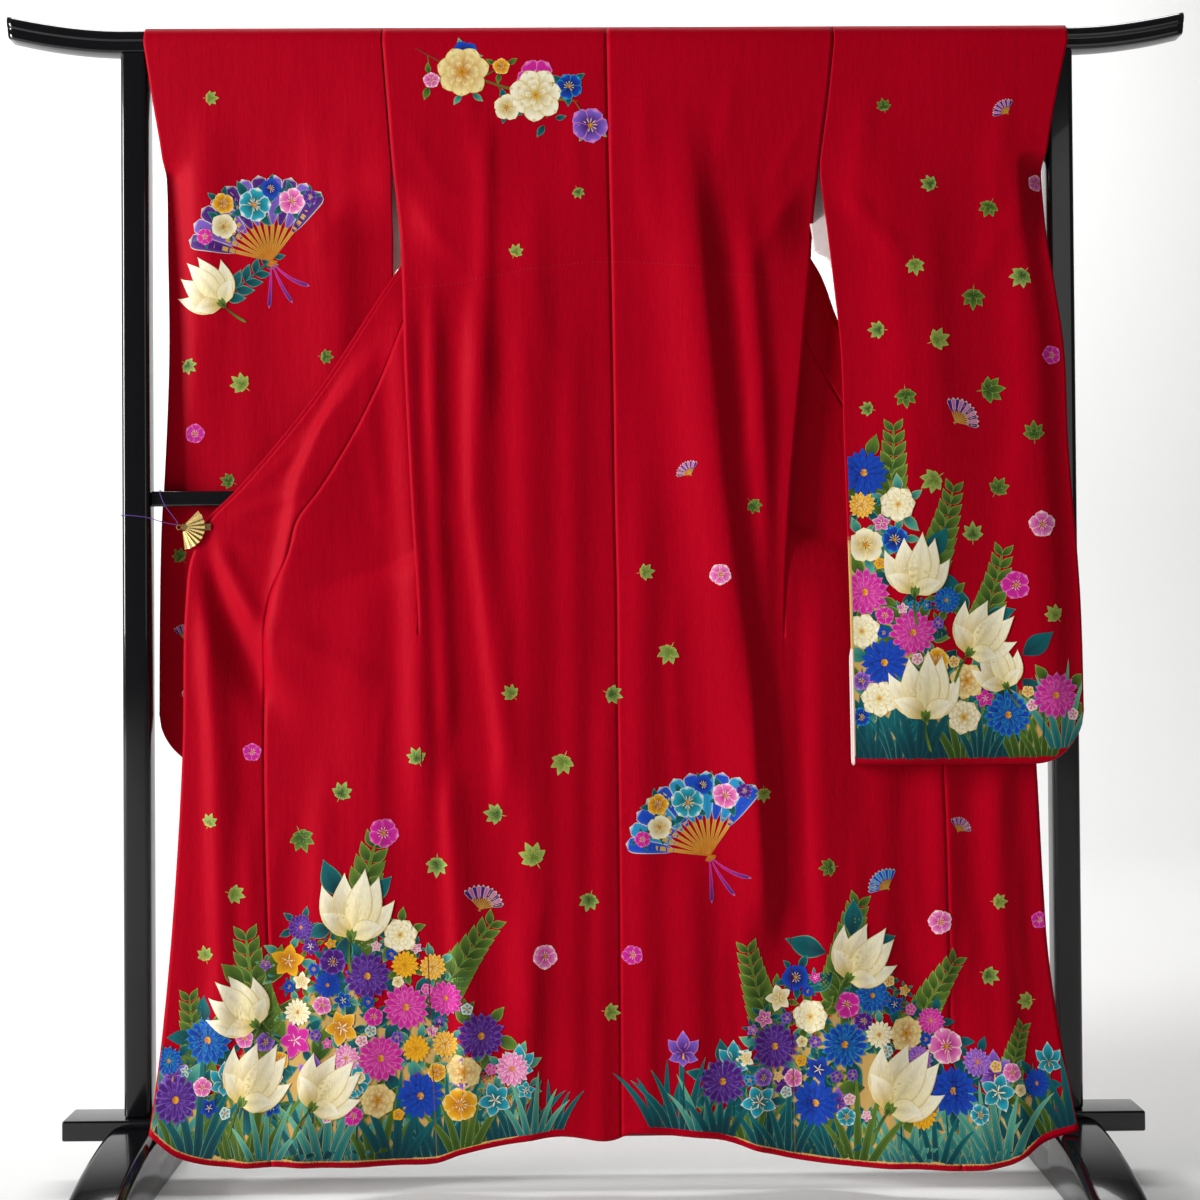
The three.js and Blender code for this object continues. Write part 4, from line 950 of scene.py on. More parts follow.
def sleeve_piece(sleeve, strip):
    """The bag as a closed loop round the rail.

    It goes up the near layer, over the rail, down the far layer, and round a curl at the bottom.
    Below the height called strip, the lining shows as a fine line along the body-side edge."""
    name = sleeve.half.name
    spacing = np.concatenate([
        [0.0], np.linspace(0.008, 0.86, 44), np.linspace(0.87, 1, SLEEVE["columns"] - 44)])
    share = spacing[:, None]
    low = sleeve.bottom(share)
    levels = np.linspace(0, 1, SLEEVE["levels"])[None, :]
    z = mix(low, TURN["z"], levels)
    near, far = sleeve.point(share, z), sleeve.point(share, z, near=False)
    turn = np.linspace(0, 1, SLEEVE["turn_rows"] + 1)[None, 1:-1]
    y, z_turn = over_rail(turn)
    over = np.stack(np.broadcast_arrays(sleeve.x(share, TURN["z"]), y, z_turn), axis=-1)
    near_low, far_low = sleeve.layers(share, low)
    angle = np.linspace(0, np.pi, SLEEVE["curl"] + 1)[None, 1:-1]
    centre, spread = (near_low + far_low) / 2, (far_low - near_low) / 2
    curl = np.stack(np.broadcast_arrays(
        sleeve.x(share, low), centre + spread * np.cos(angle), low - spread * 0.66 * np.sin(angle)), axis=-1)
    loop = np.concatenate([near, over, far[:, ::-1], curl], axis=1)
    columns = loop.shape[1]
    points = loop.reshape(-1, 3)
    cells = grid_cells(loop.shape[0], columns, wrap=True)
    v = np.arange(columns)[None, :] / columns
    uv = np.stack(np.broadcast_arrays(spacing[:, None], v), axis=-1).reshape(-1, 2)
    row_of = np.repeat(np.arange(loop.shape[0] - 1), columns)
    lined = (row_of < 1) & (points[cells[:, 0], 2] < strip)
    piece = cloth_piece(
        f"sleeve_{name}_crepe", points, cells, uv, np.full(len(points), WALL), lined, flip=sleeve.outward > 0)
    x, z = loop[..., 0].ravel(), loop[..., 2].ravel()
    banked = sleeve.outward > 0
    floor = np.broadcast_to(low, loop.shape[:2]).ravel()
    dust(piece, len(points), gold_ground(x, z, sleeve_bank(x), floor) * banked)
    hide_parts(f"sleeve_{name}")
    return piece


sleeve_piece(sleeve_left, 0.0)
sleeve_piece(sleeve_right, 760.0)

# ---------------------------------------------------------------- dyed pattern
# Flowers, leaves and folding fans are hand-dyed on the finished panels and run across the seams.
# Each petal or leaf is a thin patch of dye that follows the cloth 0.3 to 1.7 mm above it, by its layer.

dyes, gloss, nodes, wire = shader("hand_painted_dye", {"Roughness": 0.6, "Specular IOR Level": 0.2})
painted = add_node(nodes, "ShaderNodeAttribute", attribute_name="dye")
where = add_node(nodes, "ShaderNodeTexCoord")
upright_grain = add_node(nodes, "ShaderNodeMapping", Scale=(1.0, 1.0, 0.3))
grain = add_node(nodes, "ShaderNodeTexNoise", Scale=420.0, Detail=3.0, Roughness=0.65)
pale = add_node(nodes, "ShaderNodeMapRange", **{
    "From Min": 0.3, "From Max": 0.7, "To Min": 0.8, "To Max": 1.05})
threads = add_node(nodes, "ShaderNodeMix", data_type="RGBA", blend_type="MULTIPLY")
threads.inputs["Factor"].default_value = 0.6
crinkle = add_node(nodes, "ShaderNodeBump", Strength=0.3, Distance=0.0005)
wire(
    (where, "Object", upright_grain, "Vector"), (upright_grain, "Vector", grain, "Vector"),
    (grain, "Fac", pale, "Value"), (painted, "Color", threads, "A"), (pale, "Result", threads, "B"),
    (threads, "Result", gloss, "Base Color"), (grain, "Fac", crinkle, "Height"),
    (crinkle, "Normal", gloss, "Normal"))


def colour(red, green, blue):
    """A display colour from 0 to 255, as the linear colour that shaders use."""
    share = np.array([red, green, blue]) / 255.0
    return np.where(share <= 0.04045, share / 12.92, ((share + 0.055) / 1.055) ** 2.4)


CREAM, IVORY, STRAW = colour(252, 246, 220), colour(246, 228, 160), colour(212, 180, 84)
TEAL, DEEP_TEAL, JADE = colour(0, 104, 108), colour(0, 56, 66), colour(96, 178, 150)
AQUA, ROYAL, NAVY = colour(36, 170, 196), colour(14, 72, 190), colour(8, 22, 96)
PURPLE, VIOLET, MAGENTA = colour(74, 18, 118), colour(140, 104, 214), colour(206, 30, 150)
PINK, GOLD, AMBER = colour(240, 140, 196), colour(248, 184, 24), colour(196, 112, 8)
OLIVE, MOSS, LEAF = colour(98, 128, 40), colour(48, 78, 20), colour(158, 184, 92)
BARK, STITCH = colour(96, 66, 30), colour(206, 70, 78)

ROUND, PETAL, LEAFLET, STRAP, POINT, BLADE = range(6)

# Grids of one patch, along it and across it: for long ones, for middling ones, and for specks.
LONG, MIDDLING, SPECK = (
    (np.linspace(0, 1, 13), np.array([-1, -0.84, -0.42, 0, 0.42, 0.84, 1])),
    (np.linspace(0, 1, 6), np.array([-1, -0.76, 0, 0.76, 1])),
    (np.linspace(0, 1, 4), np.array([-1.0, 0.0, 1.0])),
)
LONG_FROM, SPECK_BELOW, THIN_BELOW = 34.0, 9.0, 1.1
DYE = {"clear": 0.3, "layer": 0.045, "least_cell": 0.01, "least_facing": 0.2}


def outline_of(kind, t):
    """Half width along a patch, from 0 at its root to 1 at its tip, for each kind of patch.

    Round is a half circle; petal, leaflet and point are sine humps whose widest place moves from
    near the tip towards the root; strap is even with a round tip; blade tapers from its root."""
    return np.select([kind == k for k in range(6)], [
        np.sqrt(np.clip(1 - (2 * t - 1) ** 2, 0, 1)),
        np.clip(np.sin(np.pi * t**1.5), 0, 1) ** 0.7,
        np.clip(np.sin(np.pi * t**0.85), 0, 1) ** 1.25,
        (t + 0.02) ** 0.45 * np.sqrt(np.clip(1 - np.clip((t - 0.78) / 0.22, 0, 1) ** 2, 0, 1)),
        np.clip(np.sin(np.pi * t**0.8), 0, 1) ** 0.85,
        (t + 0.08) ** 0.2 * np.clip(1 - t, 0, 1) ** 0.75,
    ])


def patch_grid(rows, t, w):
    """X, Z, colour and layer over every patch of one grid at once.

    A patch runs along an arc that turns by its bend. Its tip is notched in the middle, its colour
    goes from root to tip, and it is edged all round and darker along its midrib."""
    x0, z0, angle, length, half, kind, notch, bend = (rows[:, k][:, None, None] for k in range(8))
    root, tip, edge = (rows[:, k:k + 3][:, None, None, :] for k in (8, 11, 14))
    whole_grid = 0 * (t + w + kind)
    bend = np.where(np.abs(bend) < 1e-3, 1e-3, bend)
    way = t * (1 - notch * (1 - np.abs(w)) ** 2 * t**3)
    heading = angle + bend * way
    wide = outline_of(kind, t + whole_grid) * half * w
    x = x0 + length * (np.sin(heading) - np.sin(angle)) / bend - wide * np.sin(heading)
    z = z0 - length * (np.cos(heading) - np.cos(angle)) / bend + wide * np.cos(heading)
    rim = np.maximum(np.abs(w), np.clip((t - 0.88) / 0.12, 0, 1)) + whole_grid
    rim = smooth((rim - 0.82) / 0.18)[..., None] * 0.8
    rib = ((1 - smooth(np.abs(w) / 0.34)) * (1 - t) + whole_grid)[..., None] * 0.45
    tint = mix(mix(mix(root, tip, smooth(t + whole_grid)[..., None]), edge, rim), root * 0.4, rib)
    return x, z, tint, rows[:, 17]


class Painting:
    """A list of patches of dye. Each has its place, form, three colours and layer."""

    def __init__(self, seed):
        self.rows, self.random = [], np.random.default_rng(seed)

    def patch(self, x, z, angle, start, length, half, kind, colours, layer, notch=0.0, bend=0.0):
        """One patch that starts at a distance from (x, z) and points along the angle."""
        root, tip, edge = colours
        self.rows.append((
            x + start * math.cos(angle), z + start * math.sin(angle), angle, length, half, kind,
            notch, bend, *root, *tip, *edge, layer))

    def any_of(self, choices):
        return choices[self.random.integers(len(choices))]

    def eye(self, x, z, size, layer):
        """A round gold centre."""
        self.patch(x - size, z, 0.0, 0.0, 2 * size, size, ROUND, (AMBER, GOLD, AMBER), layer)

    def ring(self, x, z, radius, count, wide, kind, colours, layer, inner=0.06, turn=0.0, notch=0.0):
        """Petals all round a centre, each a little uneven in length and place."""
        for k in range(count):
            angle = turn + 2 * math.pi * (k + 0.15 * self.random.random()) / count
            reach = radius * (0.92 + 0.13 * self.random.random())
            self.patch(
                x, z, angle, inner * radius, reach * (1 - inner), wide * radius, kind,
                colours, layer + 0.3 * (k % 3), notch)

    def blossom(self, x, z, radius, colours, layer, notch=0.16):
        """A cherry or plum blossom: five round petals, a ring of stamens and a gold eye."""
        turn = self.random.random() * 2
        self.ring(x, z, radius, 5, 0.5, PETAL, colours, layer, 0.08, turn, notch)
        for k in range(10):
            angle = turn + math.pi * (k + 0.5) / 5
            self.patch(
                x, z, angle, 0.12 * radius, 0.3 * radius, 0.03 * radius, STRAP,
                (CREAM, CREAM, GOLD), layer + 0.5)
        self.eye(x, z, 0.14 * radius, layer + 0.6)

    def mum(self, x, z, radius, colours, layer):
        """A chrysanthemum: three rings of narrow strap petals round a gold eye."""
        root, tip, edge = colours
        turn = self.random.random()
        for ring in range(3):
            shade = (mix(root, tip, 0.3 * ring), mix(tip, edge, 0.12 * ring), edge)
            self.ring(
                x, z, radius * (1 - 0.27 * ring), 16 - 3 * ring, 0.15, STRAP, shade,
                layer + 0.4 * ring, 0.1, turn + 0.3 * ring)
        self.eye(x, z, 0.15 * radius, layer + 1.4)

    def peony(self, x, z, radius, colours, layer):
        """A peony: three rings of broad notched petals round a tuft of gold stamens."""
        root, tip, edge = colours
        for ring, (count, size, wide) in enumerate(((7, 1.0, 0.4), (6, 0.72, 0.34), (5, 0.46, 0.24))):
            turn = 0.5 * ring + self.random.random()
            self.ring(x, z, radius * size, count, wide, PETAL, colours, layer + 0.5 * ring, 0.04, turn, 0.12)
        for k in range(12):
            self.patch(
                x, z, math.pi * k / 6, 0.02 * radius, 0.19 * radius, 0.02 * radius, STRAP,
                (AMBER, GOLD, GOLD), layer + 1.8)

    def magnolia(self, x, z, size, turn, layer):
        """A magnolia seen from its side: broad cream petals that open upward from a green cup."""
        for k, (lean, reach, wide, bend) in enumerate((
                (-0.95, 0.82, 0.17, 0.55), (0.95, 0.86, 0.17, -0.55), (-0.42, 0.96, 0.2, 0.35),
                (0.45, 0.92, 0.2, -0.35), (-0.1, 1.0, 0.19, 0.15), (0.7, 0.55, 0.15, 0.7),
                (-0.66, 0.5, 0.15, -0.8))):
            shades = (STRAW, CREAM, IVORY) if k % 2 else (IVORY, CREAM, STRAW)
            self.patch(
                x, z, turn + lean, 0, size * reach, size * wide, LEAFLET, shades, layer + 0.6 * k, 0.0, bend)
        for lean in (-0.5, 0.0, 0.5):
            self.patch(
                x, z, turn + lean, -0.05 * size, 0.2 * size, 0.05 * size, LEAFLET,
                (MOSS, OLIVE, LEAF), layer + 4.4)
        self.patch(
            x, z, turn + math.pi, 0, 0.5 * size, 0.018 * size + 0.6, STRAP,
            (MOSS, OLIVE, MOSS), layer - 2, 0, 0.4)

    def bellflower(self, x, z, radius, colours, layer):
        """A bellflower: five pointed petals with a pale star in the middle."""
        turn = self.random.random() * 2
        self.ring(x, z, radius, 5, 0.36, POINT, colours, layer, 0.0, turn)
        self.ring(x, z, radius * 0.42, 5, 0.1, STRAP, (CREAM, colours[2], CREAM), layer + 0.5, 0.0, turn)
        self.eye(x, z, 0.1 * radius, layer + 0.6)

    def iris(self, x, z, size, colours, layer):
        """An iris: three petals that stand up and three that fall, on a straight stem."""
        for k, (lean, reach, wide, bend) in enumerate((
                (-1.1, 0.9, 0.3, 0.5), (1.1, 0.9, 0.3, -0.5), (0.0, 1.0, 0.3, 0.0),
                (2.3, 0.72, 0.26, -0.6), (-2.3, 0.72, 0.26, 0.6), (math.pi, 0.62, 0.28, 0.0))):
            self.patch(
                x, z, math.pi / 2 + lean, 0, size * reach, size * wide, LEAFLET,
                colours, layer + 0.2 * k, 0.0, bend)
        self.patch(x, z, -math.pi / 2, 0, size * 0.3, size * 0.05, STRAP, (GOLD, GOLD, AMBER), layer + 1.4)
        self.patch(x, z, -math.pi / 2, 0, size * 2.6, 1.3, STRAP, (TEAL, DEEP_TEAL, TEAL), layer - 3)

    def maple(self, x, z, radius, layer):
        """A maple leaf: seven pointed lobes, the side ones shorter, on a thin stalk."""
        root, tip, edge = self.any_of([(MOSS, OLIVE, LEAF), (OLIVE, LEAF, STRAW), (MOSS, LEAF, LEAF)])
        turn = self.random.random() * 2 * math.pi
        for k, size in enumerate((0.5, 0.78, 0.95, 1.05, 0.95, 0.78, 0.5)):
            self.patch(
                x, z, turn + (k - 3) * 0.72, 0, radius * size, 0.24 * radius, POINT,
                (root, tip, edge), layer + 0.15 * (k % 2))
        self.patch(
            x, z, turn + math.pi, 0, 0.7 * radius, 0.035 * radius, STRAP, (tip, tip, edge), layer + 0.3)

    def fan(self, x, z, radius, turn, colours, layer):
        """An open folding fan: slats of bamboo under a pleated leaf of two alternating shades."""
        root, tip, edge = colours
        for k in range(11):
            angle = turn + (k - 5) * 0.2
            self.patch(
                x, z, angle, -0.08 * radius, radius, 0.03 * radius, STRAP, (AMBER, STRAW, STRAW), layer)
            shade = mix(root, tip, 0.6 * (k % 2))
            self.patch(
                x, z, angle, 0.42 * radius, 0.56 * radius, 0.104 * radius, STRAP, (shade, shade, edge),
                layer + 0.3 + 0.1 * (k % 2))

    def great_fan(self, x, z, radius, turn, colours, layer):
        """A large open fan with a spray of blossoms across its leaf and a silk tassel at its pivot."""
        self.fan(x, z, radius, turn, colours, layer)
        for k, (lean, way, size) in enumerate((
                (-0.7, 0.72, 0.16), (-0.35, 0.82, 0.12), (-0.05, 0.66, 0.2), (0.36, 0.84, 0.13),
                (0.62, 0.66, 0.15), (0.9, 0.8, 0.1), (-0.92, 0.86, 0.09))):
            at_x, at_z = x + radius * way * math.cos(turn + lean), z + radius * way * math.sin(turn + lean)
            self.leaves(at_x, at_z, radius * size, (DEEP_TEAL, TEAL, JADE), layer + 1, 4)
            self.blossom(at_x, at_z, radius * size, BLOOMS[(3 * k + 2) % len(BLOOMS)], layer + 2 + 0.3 * k)
        for side_ in (-0.35, 0.0, 0.35):
            self.patch(
                x, z, turn + math.pi + side_, 0.06 * radius, 0.5 * radius, 0.02 * radius + 0.5, STRAP,
                (MAGENTA, PURPLE, PINK), layer + 0.5, 0.0, 1.1 * side_ + 0.3)

    def sprig(self, x, z, angle, length, colours, layer, pairs=6, bend=0.5):
        """A curved stem with pairs of leaflets that grow smaller towards its tip."""
        self.patch(x, z, angle, 0, length, 0.012 * length + 0.5, STRAP, (colours[1],) * 3, layer, bend=bend)
        for k in range(pairs):
            way = (k + 1) / (pairs + 0.6)
            here = angle + bend * way / 2
            at_x, at_z = x + length * way * math.cos(here), z + length * way * math.sin(here)
            size = length * 0.27 * (1.1 - 0.6 * way)
            for side_ in (-1, 1):
                self.patch(
                    at_x, at_z, angle + bend * way + side_ * 0.85, 0, size, 0.25 * size, LEAFLET,
                    colours, layer + 0.2, 0.0, -side_ * 0.4)

    def blades(self, x, z, height, colours, layer, count=5):
        """A tuft of long leaves that fan out from one root, as an iris has."""
        for k in range(count):
            lean = (k - (count - 1) / 2) * 0.26 + 0.14 * (self.random.random() - 0.5)
            size = height * (1 - 0.32 * abs(lean)) * (0.8 + 0.35 * self.random.random())
            self.patch(
                x + 26 * lean, z, math.pi / 2 - lean * 0.6, 0, size, 0.055 * height + 2.2, BLADE,
                colours, layer + 0.5 * k, 0.0, -lean * 1.1)

    def leaves(self, x, z, radius, colours, layer, count=5):
        """Broad leaves that look out from under a flower."""
        turn = self.random.random() * 2 * math.pi
        for k in range(count):
            angle = turn + 2 * math.pi * (k + 0.4 * self.random.random()) / count
            size = radius * (0.75 + 0.4 * self.random.random())
            bend = 0.8 * (self.random.random() - 0.5)
            self.patch(x, z, angle, 0.55 * radius, size, 0.26 * size, LEAFLET, colours, layer, 0.0, bend)

    def bough(self, x, z, angle, length, bend, layer):
        """A flowering plum branch: a bent stem with twigs, and a blossom or a bud at each of them."""
        self.patch(x, z, angle, 0, length, 2.2, STRAP, (BARK, OLIVE, BARK), layer, 0.0, bend)
        for k in range(9):
            way = (k + 0.7) / 9
            here = angle + bend * way
            reach = length * way
            at_x = x + reach * math.cos(angle + bend * way / 2)
            at_z = z + reach * math.sin(angle + bend * way / 2)
            lean = here + (0.9 if k % 2 else -0.9)
            twig = length * (0.1 + 0.07 * self.random.random())
            self.patch(at_x, at_z, lean, 0, twig, 1.2, STRAP, (OLIVE, MOSS, OLIVE), layer + 0.2)
            end_x, end_z = at_x + twig * math.cos(lean), at_z + twig * math.sin(lean)
            self.leaves(end_x, end_z, 0.075 * length, self.any_of(GREENS), layer + 0.6, 3)
            if k in (2, 6):
                self.peony(at_x, at_z, 0.155 * length, PALE[k % 3], layer + 4)
            else:
                size = length * (0.05 + 0.03 * (k % 3))
                self.blossom(end_x, end_z, size, BLOOMS[(3 * k + 2) % len(BLOOMS)], layer + 2 + 0.2 * k)

    def finish(self, name, surface, outward):
        """Makes the mesh of all patches that reach a panel. surface gives its point at any X and Z.

        Each patch lies along the panel's normal above its wall. Cells that the panel's edges squeeze
        to nothing are dropped, which trims the pattern at the seams."""
        rows = np.array(self.rows)
        length, half = rows[:, 3], rows[:, 4]
        speck = (length < SPECK_BELOW) | (half < THIN_BELOW)
        is_long = length >= LONG_FROM
        groups = ((LONG, is_long & ~speck), (MIDDLING, ~is_long & ~speck), (SPECK, speck))
        points, quads, tints, maps = [], [], [], []
        across = math.ceil(math.sqrt(len(rows)))
        first = count = 0
        for (t, w), chosen in groups:
            if not chosen.any():
                continue
            t, w = t[None, :, None], w[None, None, :]
            x, z, tint, layer = patch_grid(rows[chosen], t, w)
            patches, along, wide = x.shape
            spot = surface(x, z)
            right_way = surface(x + 0.5, z) - surface(x - 0.5, z)
            upward = surface(x, z + 0.5) - surface(x, z - 0.5)
            normal = unit(np.cross(right_way, upward))
            normal = np.where(np.abs(normal[..., 1:2]) < DYE["least_facing"], (0.0, 1.0, 0.0), normal)
            normal = normal * np.sign(normal[..., 1:2]) * outward
            spot = spot + normal * (WALL / 2 + DYE["clear"] + DYE["layer"] * layer[:, None, None, None])
            cells = grid_cells(along, wide)[None] + (np.arange(patches) * along * wide)[:, None, None]
            number = (first + np.arange(patches))[:, None, None]
            u = (number % across + 0.05 + 0.9 * (w + 1) / 2 + 0 * t) / across
            v = (number // across + 0.05 + 0.9 * t + 0 * w) / across
            points.append(spot.reshape(-1, 3))
            tints.append(tint.reshape(-1, 3))
            quads.append(cells.reshape(-1, 4) + count)
            maps.append(np.stack([u.ravel(), v.ravel()], axis=-1))
            first += patches
            count += patches * along * wide
        points, quads, tints, maps = (np.concatenate(part) for part in (points, quads, tints, maps))
        a, b, c, d = (points[quads[:, k]] for k in range(4))
        facing = np.cross(c - a, d - b)
        quads = np.where((facing[:, 1] * outward < 0)[:, None], quads[:, ::-1], quads)
        quads = quads[np.linalg.norm(facing, axis=-1) > DYE["least_cell"]]
        used, quads = np.unique(quads, return_inverse=True)
        quads = quads.reshape(-1, 4)
        piece = place_mesh(name, points[used], quads.tolist(), [dyes])
        dye_layer = piece.data.attributes.new("dye", "FLOAT_COLOR", "POINT")
        dye_layer.data.foreach_set("color", np.concatenate(
            [tints[used], np.ones((len(used), 1))], axis=1).astype(np.float32).ravel())
        uv_layer = piece.data.uv_layers.new(name="OFBake")
        uv_layer.data.foreach_set("uv", maps[used][quads].astype(np.float32).ravel())


GREENS = [(DEEP_TEAL, TEAL, JADE), (TEAL, JADE, STRAW), (MOSS, OLIVE, LEAF), (DEEP_TEAL, TEAL, TEAL)]
BLOOMS = [
    (PURPLE, PURPLE, VIOLET), (AMBER, GOLD, IVORY), (MAGENTA, PINK, CREAM), (NAVY, ROYAL, AQUA),
    (STRAW, CREAM, IVORY), (NAVY, ROYAL, ROYAL), (PURPLE, VIOLET, PINK), (MAGENTA, MAGENTA, PINK),
    (TEAL, AQUA, CREAM), (AMBER, GOLD, GOLD),
]
PALE = [(STRAW, CREAM, STRAW), (IVORY, CREAM, STRAW), (AMBER, IVORY, STRAW)]
DEEP = [(NAVY, ROYAL, AQUA), (PURPLE, PURPLE, VIOLET), (NAVY, ROYAL, ROYAL), (MAGENTA, MAGENTA, PINK)]


# Radius above which a flower of a bank is of each kind.
FLOWER_FROM = {"magnolia": 40, "deep_mum": 31, "peony": 24, "mum": 16}


def bank(painting, inside, low, high, sizes):
    """Fills a bank with flowers, largest first, each over its own leaves and clear of the others' middles.

    Each row of sizes is a radius, how many to try for, and how many random places to try."""
    placed = []
    for radius, wanted, tries in sizes:
        made = 0
        for _ in range(tries):
            x = mix(low[0], high[0], painting.random.random())
            z = mix(low[1], high[1], painting.random.random())
            near = any(math.hypot(x - at_x, z - at_z) < 0.84 * (radius + size) for at_x, at_z, size in placed)
            if made == wanted or near or not inside(x, z):
                continue
            placed.append((x, z, radius))
            made += 1
            layer = 13 + len(placed) % 7 * 0.9 + (7 if radius > FLOWER_FROM["magnolia"] else 0)
            painting.leaves(x, z, radius * 1.15, painting.any_of(GREENS), 2 + len(placed) % 5 * 0.6, 5)
            flower = painting.random.integers(5)
            colours = painting.any_of(BLOOMS)
            if radius > FLOWER_FROM["magnolia"]:
                turn = 1.57 + 1.7 * (painting.random.random() - 0.5)
                size = radius * (1.6 + 0.7 * painting.random.random())
                painting.magnolia(x, z - radius * 0.7, size, turn, layer)
            elif radius > FLOWER_FROM["deep_mum"]:
                painting.mum(x, z, radius, painting.any_of(DEEP), layer)
            elif radius > FLOWER_FROM["peony"] and flower < 2:
                painting.peony(x, z, radius, painting.any_of(PALE), layer)
            elif radius > FLOWER_FROM["mum"] and flower < 3:
                painting.mum(x, z, radius, colours, layer)
            elif flower == 4:
                painting.bellflower(x, z, radius, colours, layer)
            else:
                painting.blossom(x, z, radius, colours, layer, 0.16 if flower else 0.0)


def tufts(painting, start, end, floor_at, height, spacing):
    """A row of iris leaves along the bottom of a bank, with an iris over every third of them."""
    x, number = start, 0
    while x < end:
        tall = height * (0.75 + 0.5 * painting.random.random())
        ground = float(floor_at(x))
        painting.blades(x, ground, tall, painting.any_of(GREENS), 1 + 2.6 * (number % 4), 5)
        if number % 3 == 1:
            colours = BLOOMS[(6, 8, 0)[number % 9 // 3]]
            painting.iris(x, ground + tall * 0.95, tall * 0.26, colours, 12)
        x += spacing * (0.7 + 0.6 * painting.random.random())
        number += 1


def drift(painting, spots):
    """Single motifs scattered over plain cloth, mostly leaves. Each row of spots is X, Z and radius."""
    for number, (x, z, radius) in enumerate(spots):
        if number % 5 == 2:
            painting.blossom(x, z, radius * 0.85, BLOOMS[(number * 3 + 1) % len(BLOOMS)], 3)
        elif number % 7 == 5:
            turn = 1.57 + 1.8 * (painting.random.random() - 0.5)
            colours = (PURPLE, PINK, CREAM) if number % 2 else (ROYAL, AQUA, CREAM)
            painting.fan(x, z, radius * 1.5, turn, colours, 3)
        else:
            painting.maple(x, z, radius, 3)


ABOVE_ROLL = 9


def back_surface(x, z):
    """The middle of both back panels, kept inside their side seams and above the hem roll."""
    x = np.clip(x, back_left(z) + 1, back_right(z) - 1)
    z = np.clip(z, hem_at(x) + ABOVE_ROLL, 1650)
    y = np.where(x < back_centre(z), back_depth(left, x, z), back_depth(right, x, z))
    return np.stack([x, y, z], axis=-1)


def wing_surface(half):
    """A spread front: X is turned into the distance along the cloth."""

    def surface(x, z):
        tuck, bend = half.tuck(z), bend_at(z)
        radius = np.maximum(np.hypot(tuck, bend) - half.sign * (x - half.side_seam(z)), bend)
        along = tuck + np.sqrt(radius**2 - bend**2)
        along = np.clip(along, tuck + 2, half.width(z) - 2)
        return front_point(half, along, np.maximum(z, front_hem(half, along) + ABOVE_ROLL))

    return surface


def sleeve_surface(sleeve, near):
    """One layer of a sleeve, kept off its edges."""

    def surface(x, z):
        share = (x - sleeve.x(0.0, z)) / (sleeve.x(1.0, z) - sleeve.x(0.0, z))
        share = np.clip(share, 0.012, 0.992)
        return sleeve.point(share, np.clip(z, sleeve.bottom(share) + 1.5, 1640), near)

    return surface


# The robe: flowers banked in two hills over the side seams, and leaves that blow up across the back.
robe = Painting(11)
tufts(robe, -636, -60, hem_at, 116, 24)
tufts(robe, 86, 655, hem_at, 104, 24)
for x, z, angle, length in (
        (-470, 180, 1.9, 190), (-360, 300, 1.5, 200), (-250, 240, 1.1, 170), (-560, 130, 1.9, 150),
        (250, 190, 2.0, 160), (330, 240, 1.5, 170), (430, 190, 1.2, 150), (560, 110, 1.4, 120)):
    robe.sprig(x, z, angle, length, (MOSS, OLIVE, LEAF), 2, 9, -0.25)
bank(robe, lambda x, z: hem_at(x) + 66 < z < bank_top(x) and abs(x) < 632, (-634, 60), (654, 440), [
    (47, 6, 1200), (34, 12, 1200), (26, 16, 1400), (20, 40, 2200), (14, 66, 2600), (9, 90, 2600)])
robe.great_fan(150, 470, 122, 2.0, (ROYAL, AQUA, CREAM), 3)
robe.bough(-262, 1630, -0.55, 250, 0.45, 2)
drift(robe, [
    (-430, 500, 24), (-372, 560, 19), (-312, 505, 26), (-236, 462, 21), (-262, 610, 18), (-176, 396, 24),
    (-150, 530, 20), (-84, 330, 22), (-98, 468, 25), (-20, 410, 19), (-56, 606, 22), (6, 250, 17),
    (40, 330, 18), (12, 700, 18), (-128, 700, 16), (96, 760, 21), (60, 872, 16), (168, 868, 19),
    (216, 968, 15), (128, 1010, 14), (-526, 420, 18), (-566, 330, 16), (-500, 620, 16), (-560, 520, 15),
    (-120, 1330, 14), (-30, 1420, 12), (404, 420, 20), (478, 372, 21), (545, 296, 18), (604, 258, 17),
    (560, 400, 15), (322, 452, 17), (622, 372, 15), (505, 500, 14), (226, 560, 15),
])
robe.finish("pattern_back", back_surface, -1)
robe.finish("pattern_wing_left", wing_surface(left), -1)
robe.finish("pattern_wing_right", wing_surface(right), -1)

